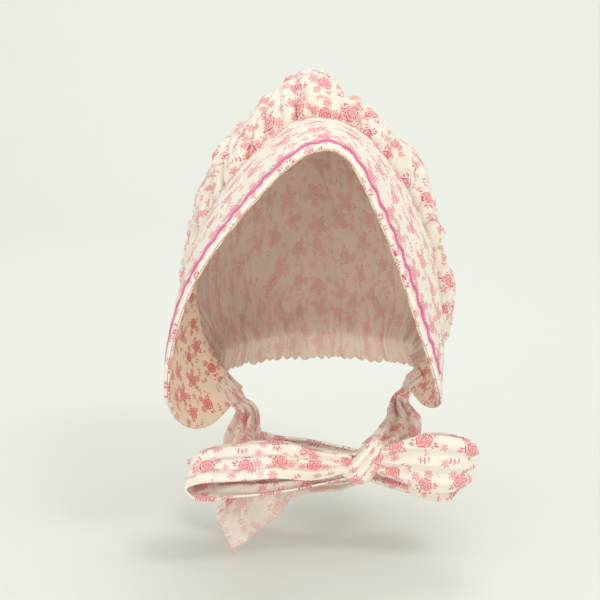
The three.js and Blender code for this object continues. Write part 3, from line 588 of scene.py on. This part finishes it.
def braid_material():
    """Two sets of slanting strands, with painted shade in the dips between them, and a little worn.
    """
    material, net, shader, place = new_cloth("pink_braid")
    x, y, _ = net.split(place)
    strand = ((x * 1.6 + abs(y) * 2.4) * math.pi).sin() * 0.5 + 0.5
    other = ((x * 1.6 - y * 2.4) * math.pi).sin() * 0.5 + 0.5
    # The colour follows the strands' height: painted shade where they dip and lighter on their tops;
    # the noise gives an uneven tone.
    tone = strand * 0.55 + other * 0.25 + (net.noise(place, 0.6, 3.0) - 0.5) * 0.6
    colour = net.mix(tone, (0.78, 0.070, 0.30, 1), (0.91, 0.28, 0.54, 1))
    dress(net, shader, colour, strand * 0.6 + other * 0.3, depth=0.0003, rough=0.6, sheen=0.3)
    return material


pink = braid_material()


# ---- Brim ----

EDGE_SEAM, REAR_SEAM = 6.6, 3.6  # the stitched lines, from the brim's front and rear edges
LINING_PRINT = 1.2  # how many times smaller the lining's print is


def brim_relief(u, d):
    """How far the brim's middle surface lies off its even form: the stiffening's soft waves."""
    x, y = u * BRIM_HALF_LENGTH, d * BRIM_DEPTH
    slow = 0.45 * ripple(x / 60, y / 60, 11, 8)
    pucker = 0.35 * ripple(x / 9, y / 60, 12, 8) * np.exp(-np.clip(y, 0, None) / 9)
    return slow + pucker


def brim_middle(u, d):
    return brim_point(u, d, brim_relief(u, d))


def edge_roll(d):
    """The turned edge: a soft roll with a seam line behind it."""
    x = (1 - d) * BRIM_DEPTH
    roll = 0.75 * np.sqrt(np.clip(1 - ((x - 3.0) / 3.2) ** 2, 0, 1))
    return roll - 0.25 * np.exp(-(((x - EDGE_SEAM) / 0.6) ** 2))


def seam_roll(d):
    """The brim's rear edge, turned in and stitched down over the gathers."""
    y = d * BRIM_DEPTH
    return 0.55 * np.exp(-(((y - 1.4) / 1.5) ** 2)) - 0.3 * np.exp(-(((y - REAR_SEAM) / 0.5) ** 2))


def rounded(from_edge, radius):
    """The share of a layer's wall that is gone near a rounded edge."""
    x = np.clip(1 - from_edge / radius, 0, 1)
    return 1 - np.sqrt(np.clip(1 - x * x, 0, 1))


d_rows = np.concatenate([
    np.linspace(0, 0.90, 60), np.linspace(0.905, 0.975, 14), np.linspace(0.979, 1.0, 12)])
uu, dd = np.meshgrid(np.linspace(-1, 1, 401), d_rows[::-1])
brim_grid = brim_middle(uu, dd)
brim_uv = np.stack([uu * brim_reach(dd) * BRIM_HALF_LENGTH * 1.06, dd * BRIM_DEPTH + 7], -1)
room = brim_room(dd)
end_in = rounded((1 - dd) * BRIM_DEPTH, 1.6)
side_in = rounded((1 - np.abs(uu)) * BRIM_HALF_LENGTH, 1.4)
kept = 1 - 0.8 * np.maximum(end_in, side_in)
pucker = 0.18 * ripple(uu * BRIM_HALF_LENGTH / 5, dd * BRIM_DEPTH / 30, 14, 8)
pucker = pucker * ease((dd - 0.9) / 0.05)
outer_face = room + (OUTER_WALL + edge_roll(dd) + seam_roll(dd) + pucker) * kept
inner_face = -room - (LINING_WALL + 0.5 * edge_roll(dd)) * kept
brim = shell(
    "brim_cloth", brim_grid, room, outer_face, brim_uv, face, reverse)
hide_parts("brim")
lining = shell(
    "lining_cloth", brim_grid, inner_face, -room, brim_uv * LINING_PRINT, reverse, lining_painted_shade)
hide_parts("brim_lining")

# ---- Braid ----

reach = float(brim_reach(np.array(1.0)))
waves = round(2 * reach * BRIM_HALF_LENGTH / BRAID_PITCH)
ww, cc = np.meshgrid(np.linspace(0, 1, waves * 20 + 1), np.linspace(0.5, -0.5, 11))
swing = BRAID_WAVE * np.sin(2 * np.pi * waves * ww)
inset = BRAID_INSET + swing - cc * BRAID_WIDTH
braid_d = 1 - inset / BRIM_DEPTH
braid_u = (2 * ww - 1) * reach / brim_reach(braid_d)
braid_grid = brim_middle(braid_u, braid_d)
rest = brim_room(braid_d) + OUTER_WALL + edge_roll(braid_d) + 0.05
dome = 0.95 * np.sqrt(np.clip(1 - (1.9 * cc) ** 2, 0, 1)) + 0.15 + 0.12 * np.cos(6 * np.pi * cc)
braid_uv = np.stack([(2 * ww - 1) * reach * BRIM_HALF_LENGTH, cc * BRAID_WIDTH], -1)
braid = shell("rickrack_braid", braid_grid, rest, rest + dome, braid_uv, pink, pink)
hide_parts("rickrack")

# ---- Crown ----

GATHERS, COLUMNS_A_GATHER = 30, 16
FRILL_FLARE = 0.28


def gather_place(u):
    return u - 0.14 * np.sin(2 * np.pi * u) / (2 * np.pi) + 0.006 * np.sin(23 * u) * (1 - u**8)


def creases(phase, gone, seed, count, deep, long, wide, drift):
    """Gathers along a line: creases at uneven places that run on for a while and then fade."""
    rng = np.random.default_rng(seed)
    steps = rng.uniform(0.45, 1.55, count + 1)
    places = np.cumsum(steps)[:-1] / steps.sum() * GATHERS
    size = 0.5 * (steps[1:] + steps[:-1])
    total = np.zeros(phase.shape)
    for k in range(count):
        depth = (deep[0] + (deep[1] - deep[0]) * rng.uniform() ** 1.6) * (0.55 + 0.45 * size[k])
        length, slide = rng.uniform(*long), rng.normal(0, drift)
        middle = places[k] + slide * (1 - np.exp(-gone / 40))
        width = wide * rng.uniform(0.7, 1.3) * (1 + gone / 45)
        fade = np.exp(-((gone / length) ** 1.5))
        total += depth * fade * np.exp(-np.abs((phase - middle) / width) ** 1.1)
    return total


def pulls(phase, down, seed, count, low, high):
    """Long shallow folds that the gathers pull into the crown."""
    rng = np.random.default_rng(seed)
    total = np.zeros(phase.shape)
    for _ in range(count):
        middle, centre = GATHERS * rng.uniform(0.04, 0.96), rng.uniform(low, high)
        half, slant = rng.uniform(25, 65), rng.normal(0, 0.035)
        width, depth = rng.uniform(0.22, 0.6), rng.uniform(1.2, 3.6)
        path = middle + slant * (down - centre) + 0.25 * np.sin(down / 23 + middle)
        fade = np.exp(-(((down - centre) / half) ** 2))
        total += depth * fade * np.exp(-np.abs((phase - path) / width) ** 1.25)
    return total


def flattened(grid, rounds=500):
    """Places in the flat for a grid's points, with lengths kept as nearly as a dome allows."""
    rows = np.unique(np.linspace(0, grid.shape[0] - 1, 27).astype(int))
    cols = np.unique(np.linspace(0, grid.shape[1] - 1, 61).astype(int))
    few = grid[np.ix_(rows, cols)]
    over = arcs(grid, 1, grid.shape[1] // 2)[np.ix_(rows, cols)]
    down = arcs(grid, 0, 0)[np.ix_(rows, cols)]
    wide, tall = np.diff(over, axis=1), np.diff(down, axis=0)
    one, two = few[1:, 1:] - few[:-1, :-1], few[1:, :-1] - few[:-1, 1:]
    stretch = np.mean(wide) / np.mean(np.linalg.norm(np.diff(few, axis=1), axis=-1))
    one, two = (np.linalg.norm(x, axis=-1) * stretch for x in (one, two))
    place = np.stack([over, down], -1)
    every, fore, aft = slice(None), slice(0, -1), slice(1, None)
    pairs = [
        ((every, fore), (every, aft), wide, 0.5), ((fore, every), (aft, every), tall, 1.0),
        ((fore, fore), (aft, aft), one, 0.4), ((fore, aft), (aft, fore), two, 0.4)]
    for _ in range(rounds):
        move, load = np.zeros_like(place), np.zeros(place.shape[:2])
        for a, b, rest, pull in pairs:
            gap = place[b] - place[a]
            length = np.linalg.norm(gap, axis=-1)
            push = (pull * (length - rest) / np.maximum(length, 1e-6))[..., None] * gap * 0.5
            move[a] += push
            move[b] -= push
            load[a] += pull
            load[b] += pull
        place += 0.9 * move / np.maximum(load, 1e-6)[..., None]
    all_rows, all_cols = np.arange(grid.shape[0]), np.arange(grid.shape[1])
    full = []
    for k in range(2):
        wider = np.array([np.interp(all_cols, cols, line) for line in place[..., k]])
        full.append(np.stack([np.interp(all_rows, rows, line) for line in wider.T], 1))
    return np.stack(full, -1)


columns = np.linspace(0, 1, GATHERS * COLUMNS_A_GATHER + 1)
u_crown = gather_place(2 * columns - 1)
v_rows = 0.03 + 0.97 * np.linspace(0, 1, 84) ** 1.3
uu, vv = np.meshgrid(u_crown, v_rows)
smooth_crown = crown_point(uu, vv)
tuck_d = np.linspace(SEAM_TUCK, -1.5, 6) / BRIM_DEPTH
tu, td = np.meshgrid(u_crown, tuck_d)
base = np.concatenate([brim_point(tu, td), smooth_crown])
first = len(tuck_d)
bend = slice(first - 1, first + 9)
for _ in range(30):  # the cloth turns softly where it comes out from under the brim
    base[bend] = (
        0.25 * base[first - 2:first + 8] + 0.5 * base[bend] + 0.25 * base[first:first + 10])
down = arcs(base, 0, first - 1)
phase = GATHERS * np.broadcast_to(columns, base.shape[:2])
nape = down[-1:] - down
gone = np.clip(down, 0, None)
seam_depth = creases(
    phase, gone, seed=5, count=36, deep=(3.5, 14.0), long=(18, 56), wide=0.105, drift=0.9)
relief = 4.6 * ease(gone / 5) * np.exp(-((gone / 95) ** 1.5)) - seam_depth * ease((gone + 1) / 5)
from_nape = np.clip(nape, 0, None)
nape_depth = creases(
    phase, from_nape, seed=8, count=44, deep=(2.0, 5.0), long=(14, 50), wide=0.17, drift=0.5)
relief += 1.5 * np.exp(-from_nape / 40) - nape_depth
relief -= pulls(phase, down, seed=9, count=40, low=30, high=200)
across = arcs(base, 1, base.shape[1] // 2)
off_nape = ease((nape - 2) / 20)
free = ease(gone / 25) * off_nape
relief += free * (1.9 * crumple(across, down, 21, 36) + 0.8 * crumple(across, down, 31, 16))
relief += 0.5 * ease(gone / 6) * crumple(across, down, 41, 8)
near_seam = ease(gone / 12) * np.exp(-gone / 80) * off_nape
slantwise = crumple(across * 1.4, down * 0.8 + 0.5 * across, 51, 22)
relief += near_seam * (2.2 * slantwise + 1.2 * crumple(across, down, 53, 12))
from_end = 1 - np.abs(u_crown)
relief *= ease(from_end / 0.10)
gathered = base + normals_of(base) * relief[..., None]
last = gathered[-1]
ruffle = -nape_depth[-1] + np.mean(nape_depth[-1])
frill_length = FRILL * (0.35 + 0.65 * ease(from_end / 0.35))
flare = FRILL_FLARE * frill_length
frill_out = unit(np.stack([last[:, 0] * 0.1, flare, 0 * flare], -1)) * flare[:, None]
frill_normal = normals_of(smooth_crown)[-1]
frill_rows = []
for t in np.linspace(0, 1, 13)[1:]:
    lean = 0.8 * np.sin(phase[-1] * 1.9 + 2.2 * np.sin(phase[-1] * 0.7))
    wave = (ruffle * 0.9 + lean) * t**0.8 * ease(from_end / 0.03)
    row = last + frill_out * t**1.3 + np.array([0, 0, -0.95]) * (frill_length * t)[:, None]
    frill_rows.append(row + frill_normal * wave[:, None])
crown_grid = np.concatenate([gathered, np.array(frill_rows)])
half = CROWN_WALL / 2
crown_uv = flattened(crown_grid) + np.array([211.0, 340.0])
crown = shell("crown_cloth", crown_grid, -half, half, crown_uv, face, inside)
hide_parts("crown")


# ---- Ties and bow ----

STRIP_COLUMNS = np.linspace(0, 1, 41)
HEM, HEM_STITCH, HALF_STRIP = 3.2, 2.6, 0.42  # the hem, its stitches and half a strip's thickness
TIE_BEYOND, LEAD_STEP = 3.1, 3.2  # a tie's free start past the flap's end; the sewn part's rows
FOLDS, FOLDED_WIDTH, MOST_FOLDED = 3, 0.9, 3.4  # a strip's long folds and the cloth they take up
WIDE, TIE_PLEAT, BOW_TURN, BOW_PLEAT = 4, 5, 5, 6  # columns of the strips' tables
UP, SIDEWAYS, FORWARDS = np.array([0, 0, 1.0]), np.array([1.0, 0, 0]), np.array([0, -1.0, 0])


def place_on(rows, at, origin, scale):
    return origin + np.stack([along(rows, k, at) for k in (1, 2, 3)], -1) * scale


def hem(c):
    """Extra height of a strip's narrow hems, with the stitched line in them."""
    x = np.minimum(c, 1 - c) * TIE_WIDTH - HEM
    return 0.28 * (1 - ease(x / 0.5)) - 0.22 * np.exp(-(((x + 0.7) / 0.35) ** 2))


def turned_over(at, wide, share):
    """A strip's places across, and out from its middle, where one long edge is turned over."""
    c, bend = STRIP_COLUMNS[None, :], 1.1
    over = (c - share) * wide[:, None]
    angle = np.clip(over / bend, 0, np.pi)
    flat = share + (bend * np.sin(angle) - np.clip(over - np.pi * bend, 0, None)) / wide[:, None]
    amount = ease((at - 0.42) / 0.2)[:, None]
    return np.where(over > 0, c + (flat - c) * amount, c), bend * (1 - np.cos(angle)) * amount


def strip(key, rows, place, side, pleat_column, steps, seed, shift, front=face, lead=None):
    """A tie, loop or tail; lead is the part of a tie that is sewn down."""
    at = np.linspace(0, 1, steps + 1)
    point = place(at)
    run = unit(place(np.minimum(at + 0.01, 1)) - place(np.maximum(at - 0.01, 0)))
    across = side(at, run)
    across = unit(across - run * np.sum(across * run, -1, keepdims=True))
    out = np.cross(run, across)
    c = STRIP_COLUMNS
    wide = along(rows, WIDE, at) * TIE_WIDTH
    pleat = along(rows, pleat_column, at) * TIE_WIDTH
    length = arcs(point, 0, 0)
    sway = 0.12 * np.sin(length[:, None] / 17 + seed)
    spare = np.clip(FOLDED_WIDTH * TIE_WIDTH / wide, 1, MOST_FOLDED)
    deep = wide * np.sqrt(2 * (spare**2 - 1)) / (2 * np.pi * FOLDS) * ease(at / 0.12)
    if "tail" in key:  # a tail hangs free, so its end is not drawn into folds
        deep = deep * (1 - ease((at - 0.35) / 0.2))
    deep = np.maximum(deep, pleat * 0.5)
    swing = -np.cos(2 * np.pi * FOLDS * (c[None, :] + sway * c * (1 - c))) * deep[:, None]
    soft = crumple(c[None, :] * TIE_WIDTH * 2.2, length[:, None] * 0.8, seed, 17)
    swing = swing + 0.55 * soft * ease(np.minimum(c, 1 - c) / 0.12)[None, :]
    spread = np.broadcast_to(c[None, :], swing.shape)
    if key == "tail_left":
        spread, raised = turned_over(at, wide, 0.85)
        swing = swing - raised * np.sign(out[:, 1:2])
    grid = (
        point[:, None] + across[:, None] * ((spread[..., None] - 0.5) * wide[:, None, None])
        + out[:, None] * swing[..., None])
    cut = np.ones_like(at)
    if key == "tail_right":  # its end is cut to a point
        cut = np.where(at > 0.6, np.minimum(wide / TIE_WIDTH, 1), 1)
    if lead is not None:
        grid = np.concatenate([lead, grid])
        cut = np.concatenate([np.ones(len(lead)), cut])
        length = np.concatenate([np.arange(-len(lead), 0) * LEAD_STEP, length])
    uv = np.broadcast_arrays((c[None, :] - 0.5) * TIE_WIDTH * cut[:, None], length[:, None])
    uv = np.stack(uv, -1) + np.array(shift)
    thick = HALF_STRIP + hem(c)[None, :]
    piece = shell(key + "_cloth", grid, -thick, thick, uv, front, face)
    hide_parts(key if "tie" in key else "bow_" + key)
    return piece, grid


def bow_piece(key, rows, reach, steps, way, seed, shift, front):
    def place(at):
        return place_on(rows, at, KNOT_CENTRE, reach)

    def side(at, run):
        across = unit(way - run * (run @ way)[:, None])
        turn = np.radians(along(rows, BOW_TURN, at))[:, None]
        return across * np.cos(turn) + np.cross(run, across) * np.sin(turn)

    return strip(key, rows, place, side, BOW_PLEAT, steps, seed, shift, front)


def tie(key, rows, sign, steps, seed, shift):
    end = np.array(sign * (1 + TIE_BEYOND / BRIM_HALF_LENGTH))
    start = brim_point(end, np.array(TIE_PLACE))
    flap = unit(brim_point(end, np.array(2 * TIE_PLACE)) - brim_point(end, np.array(0.0)))

    def place(at):
        return place_on(rows, at, start, KNOT_CENTRE - start)

    def side(at, run):
        shares = (along(rows, k, at)[:, None] for k in (6, 7, 8))
        return sum(way * share for way, share in zip((flap, SIDEWAYS, UP), shares))

    # The end that is sewn to the lining, inside the flap
    d = TIE_PLACE + (STRIP_COLUMNS - 0.5) * 0.30 * TIE_WIDTH / BRIM_DEPTH
    lead = []
    lifts = {0.935: 1, 0.948: 1, 0.961: 1, 0.974: 1, 0.987: 1, 0.997: 0.95, 1.006: 0.6}
    for on, lift in lifts.items():
        rise = brim_relief(sign * on, d) - (brim_room(d) + LINING_WALL + 0.7) * lift
        lead.append(brim_point(sign * on, d, rise))
    return strip(key, rows, place, side, TIE_PLEAT, steps, seed, shift, lead=np.array(lead))


strips = {}
for key, rows, sign, steps, seed, shift in (
        ("tie_left", LEFT_TIE, -1, 120, 41, (500, 20)),
        ("tie_right", RIGHT_TIE, 1, 110, 43, (560, 35))):
    strips[key] = tie(key, rows, sign, steps, seed, shift)
for key, rows, reach, steps, way, seed, shift, front in (
        ("loop_left", LEFT_LOOP, LEFT_LOOP_REACH, 180, FORWARDS, 45, (620, 10), face),
        ("loop_right", RIGHT_LOOP, RIGHT_LOOP_REACH, 150, UP, 47, (680, 70), face),
        ("tail_left", LEFT_TAIL, LEFT_TAIL_REACH, 120, FORWARDS, 49, (740, 30), reverse),
        ("tail_right", RIGHT_TAIL, RIGHT_TAIL_REACH, 80, UP, 51, (800, 45), face)):
    strips[key] = bow_piece(key, rows, reach, steps, way, seed, shift, front)


def knot():
    """The knot: one end's turn round the others, a cushion with folds that run slantwise."""
    turns, rings = 180, 120
    folds, fold_depth, lap_depth = 1.42, 3.6, 2.8
    more, moved = np.array([1.0, 1.2, 4.5]), np.array([0.6, -0.8, 2.6])
    turn = np.linspace(0, 2 * np.pi, turns + 1)[:-1]
    tilt = np.linspace(0.02, np.pi - 0.02, rings)
    tt, ll = np.meshgrid(turn, tilt)
    slant = np.cos(tt) * (0.62 + 0.38 * np.sin(ll)) - 0.16 * np.cos(ll) ** 2
    slant = slant + 0.035 * np.sin(3 * ll + 0.6)
    fold = np.abs(np.cos(np.pi * (folds * slant + 0.05)))
    lap = (folds * slant + 0.55) % 1.0
    height = (fold**0.6 - 0.8) * fold_depth + (lap - 0.5) * lap_depth * fold**0.4
    height = height * np.sin(ll) ** 0.5
    height = height + 0.16 * np.sin(11 * np.pi * slant + 1.2 * np.sin(3 * ll)) * np.sin(ll)
    flat = np.sin(ll) ** 0.55
    half = KNOT_HALF + more
    x, y = (half[0] + height) * flat * np.cos(tt), (half[1] + height) * flat * np.sin(tt)
    z = half[2] * np.sign(np.cos(ll)) * np.abs(np.cos(ll)) ** 0.85
    x = x * (1 - 0.14 * np.cos(ll + 0.2)) + 3.4 * np.sin(ll) ** 1.5
    lean = math.radians(KNOT_LEAN)
    points = np.stack([
        x * math.cos(lean) + z * math.sin(lean), y, z * math.cos(lean) - x * math.sin(lean)], -1)
    points = points + KNOT_CENTRE + moved
    index = np.arange(rings * turns).reshape(rings, turns)
    nxt = np.roll(index, -1, 1)
    faces = np.stack([index[:-1], nxt[:-1], nxt[1:], index[1:]], -1).reshape(-1, 4).tolist()
    faces += [index[0, ::-1].tolist(), index[-1].tolist()]
    mesh = bpy.data.meshes.new("knot_cloth")
    mesh.from_pydata((points.reshape(-1, 3) * MM).tolist(), [], faces)
    mesh.materials.append(face)
    layer = mesh.uv_layers.new(name="print")
    uv = np.stack([slant * 17 + 905, ll * 15 + np.abs(np.sin(tt)) * 4 + 118], -1).reshape(-1, 2)
    corners = np.array([loop.vertex_index for loop in mesh.loops])
    layer.data.foreach_set("uv", uv[corners].astype(np.float32).ravel())
    face_outwards(mesh)
    piece = add_piece("knot_cloth", mesh)
    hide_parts("bow_knot")
    return piece


knot_piece = knot()

# ---- Stitches ----


def thread_material():
    material = bpy.data.materials.new("thread")
    material.use_nodes = True
    net = Net(material.node_tree)
    shader = net.nodes["Principled BSDF"]
    place = net.nodes.new("ShaderNodeTexCoord").outputs["Object"]
    tone = net.mix(net.noise(place, 900.0), (0.80, 0.72, 0.62, 1), (0.93, 0.87, 0.78, 1))
    net.put(shader.inputs["Base Color"], tone)
    shader.inputs["Roughness"].default_value = 0.55
    return material


THREAD = thread_material()
# A stitch: sections round it, and along it each section's height and half thickness, in threads
ROUNDS = 6
SINK, SIZE = np.array([-0.5, 0.6, 0.9, 0.6, -0.5]), np.array([0.45, 0.95, 1.0, 0.95, 0.45])


def stitches(name, lines, pitch, thick):
    """Rows of stitches; each line gives its points and the cloth's outward ways there, in mm."""
    points, faces = [], []
    for line, outs in lines:
        gone = arcs(line, 0, 0)
        for start in np.arange(0.4, gone[-1] - pitch, pitch):
            ends = np.linspace(start, start + pitch * 0.78, len(SIZE))
            mid = np.stack([np.interp(ends, gone, line[:, k]) for k in range(3)], -1)
            out = unit(np.stack([np.interp(ends, gone, outs[:, k]) for k in range(3)], -1))
            flank = np.cross(unit(np.gradient(mid, axis=0)), out)
            first_point = len(points)
            for k in range(len(SIZE)):
                for j in range(ROUNDS):
                    turn = 2 * np.pi * j / ROUNDS
                    away = flank[k] * math.cos(turn) + out[k] * math.sin(turn)
                    points.append(mid[k] + out[k] * (SINK[k] * thick) + away * (SIZE[k] * thick))
            ring = [first_point + j for j in range(ROUNDS)]
            for k in range(0, ROUNDS * (len(SIZE) - 1), ROUNDS):
                for a, b in zip(ring, ring[1:] + ring[:1]):
                    faces.append((a + k, b + k, b + k + ROUNDS, a + k + ROUNDS))
            faces.append(tuple(reversed(ring)))
            faces.append(tuple(j + ROUNDS * (len(SIZE) - 1) for j in ring))
    mesh = bpy.data.meshes.new(name)
    mesh.from_pydata((np.array(points) * MM).tolist(), [], faces)
    mesh.materials.append(THREAD)
    add_piece(name, mesh)


def brim_line(at, sunk):
    """A line along the brim's face, at a share of its depth and sunk into the stitched groove."""
    u = np.linspace(-0.985, 0.985, 500)
    d = np.full_like(u, at)
    low, high = brim_middle(u, d), brim_point(u, d, brim_relief(u, d) + 1)
    out = unit(high - low)
    return low + out * (brim_room(d) + OUTER_WALL - sunk)[:, None], out


lines = [brim_line(1 - EDGE_SEAM / BRIM_DEPTH, 0.2), brim_line(REAR_SEAM / BRIM_DEPTH, 0.25)]
stitches("brim_stitches", lines, 2.6, 0.2)
braid_out = normals_of(braid_grid)[5]
braid_line = braid_grid[5] + braid_out * (rest + dome)[5][:, None]
stitches("braid_stitches", [(braid_line, braid_out)], 3.2, 0.16)


def strip_lines(grid):
    """Both hems' stitched lines, on both sides of a strip."""
    normal = normals_of(grid)
    lines = []
    for from_edge in (HEM_STITCH / TIE_WIDTH, 1 - HEM_STITCH / TIE_WIDTH):
        j = from_edge * (grid.shape[1] - 1)
        k, t = int(j), j - int(j)
        line = grid[:, k] * (1 - t) + grid[:, k + 1] * t
        out = unit(normal[:, k])
        for way in (1, -1):
            lines.append((line + out * way * (HALF_STRIP + 0.04), out * way))
    return lines


for key, (_, grid) in strips.items():
    stitches(key + "_stitches", strip_lines(grid), 2.8, 0.15)

# ---- Floor, light and camera ----

FLOOR, FLOOR_COLOUR, SKY = -0.272, (0.72, 0.725, 0.69, 1), (0.93, 0.96, 0.90, 1)
FLOOR_NEAR, FLOOR_FAR, FLOOR_SIDE, SWEEP, WALL_TOP = -3.0, 1.2, 4.0, 0.9, 4.0
CAMERA_PLACE, CAMERA_AIM = (-0.012, -1.3694, 0.1801), (-0.012, 0, -0.111)


def studio():
    """The table, which bends up into a wall behind the bonnet."""
    profile = [(FLOOR_NEAR, FLOOR), (FLOOR_FAR, FLOOR)]
    for k in range(1, 13):
        turn = k / 12 * math.pi / 2
        profile.append((FLOOR_FAR + SWEEP * math.sin(turn), FLOOR + SWEEP * (1 - math.cos(turn))))
    profile.append((FLOOR_FAR + SWEEP, FLOOR + WALL_TOP))
    points = [(x, y, z) for x in (-FLOOR_SIDE, FLOOR_SIDE) for y, z in profile]
    n = len(profile)
    mesh = bpy.data.meshes.new("studio_floor")
    mesh.from_pydata(points, [], [(k, k + n, k + n + 1, k + 1) for k in range(n - 1)])
    mesh.shade_smooth()
    material = bpy.data.materials.new("studio_floor")
    material.use_nodes = True
    shader = material.node_tree.nodes["Principled BSDF"]
    shader.inputs["Base Color"].default_value = FLOOR_COLOUR
    shader.inputs["Roughness"].default_value = 0.35
    mesh.materials.append(material)
    sweep = bpy.data.objects.new("studio_floor", mesh)
    bpy.context.scene.collection.objects.link(sweep)


def stand(name, data, place, aim):
    """Adds a lamp or camera that stands at place and points at aim."""
    thing = bpy.data.objects.new(name, data)
    thing.location = place
    thing.rotation_euler = (Vector(aim) - Vector(place)).to_track_quat("-Z", "Y").to_euler()
    bpy.context.scene.collection.objects.link(thing)
    return thing


studio()
for name, place, aim, size, power in (
        ("key", (1.0, -1.2, 1.7), (0, 0, -0.1), 0.6, 11),
        ("front", (-0.9, -1.9, 0.2), (0, 0, -0.12), 1.1, 8.8),
        ("back", (0.2, 1.0, 1.5), (0, 0, -0.1), 0.9, 7),
        ("low", (0.15, -1.3, -0.12), (0, 0, -0.17), 0.7, 2.6),
        ("wall", (0.0, 0.7, 1.9), (0, 2.1, 0.6), 1.2, 8)):
    light = bpy.data.lights.new(name, "AREA")
    light.shape, light.size, light.energy = "DISK", size, power
    stand(name, light, place, aim)
world = bpy.data.worlds.new("studio")
world.use_nodes = True
background = world.node_tree.nodes["Background"]
background.inputs["Color"].default_value = SKY
background.inputs["Strength"].default_value = 0.90
bpy.context.scene.world = world

camera_data = bpy.data.cameras.new("photo")
camera_data.lens, camera_data.sensor_width = 120, 36
bpy.context.scene.camera = stand("photo", camera_data, CAMERA_PLACE, CAMERA_AIM)
bpy.context.scene.view_settings.view_transform = "Standard"
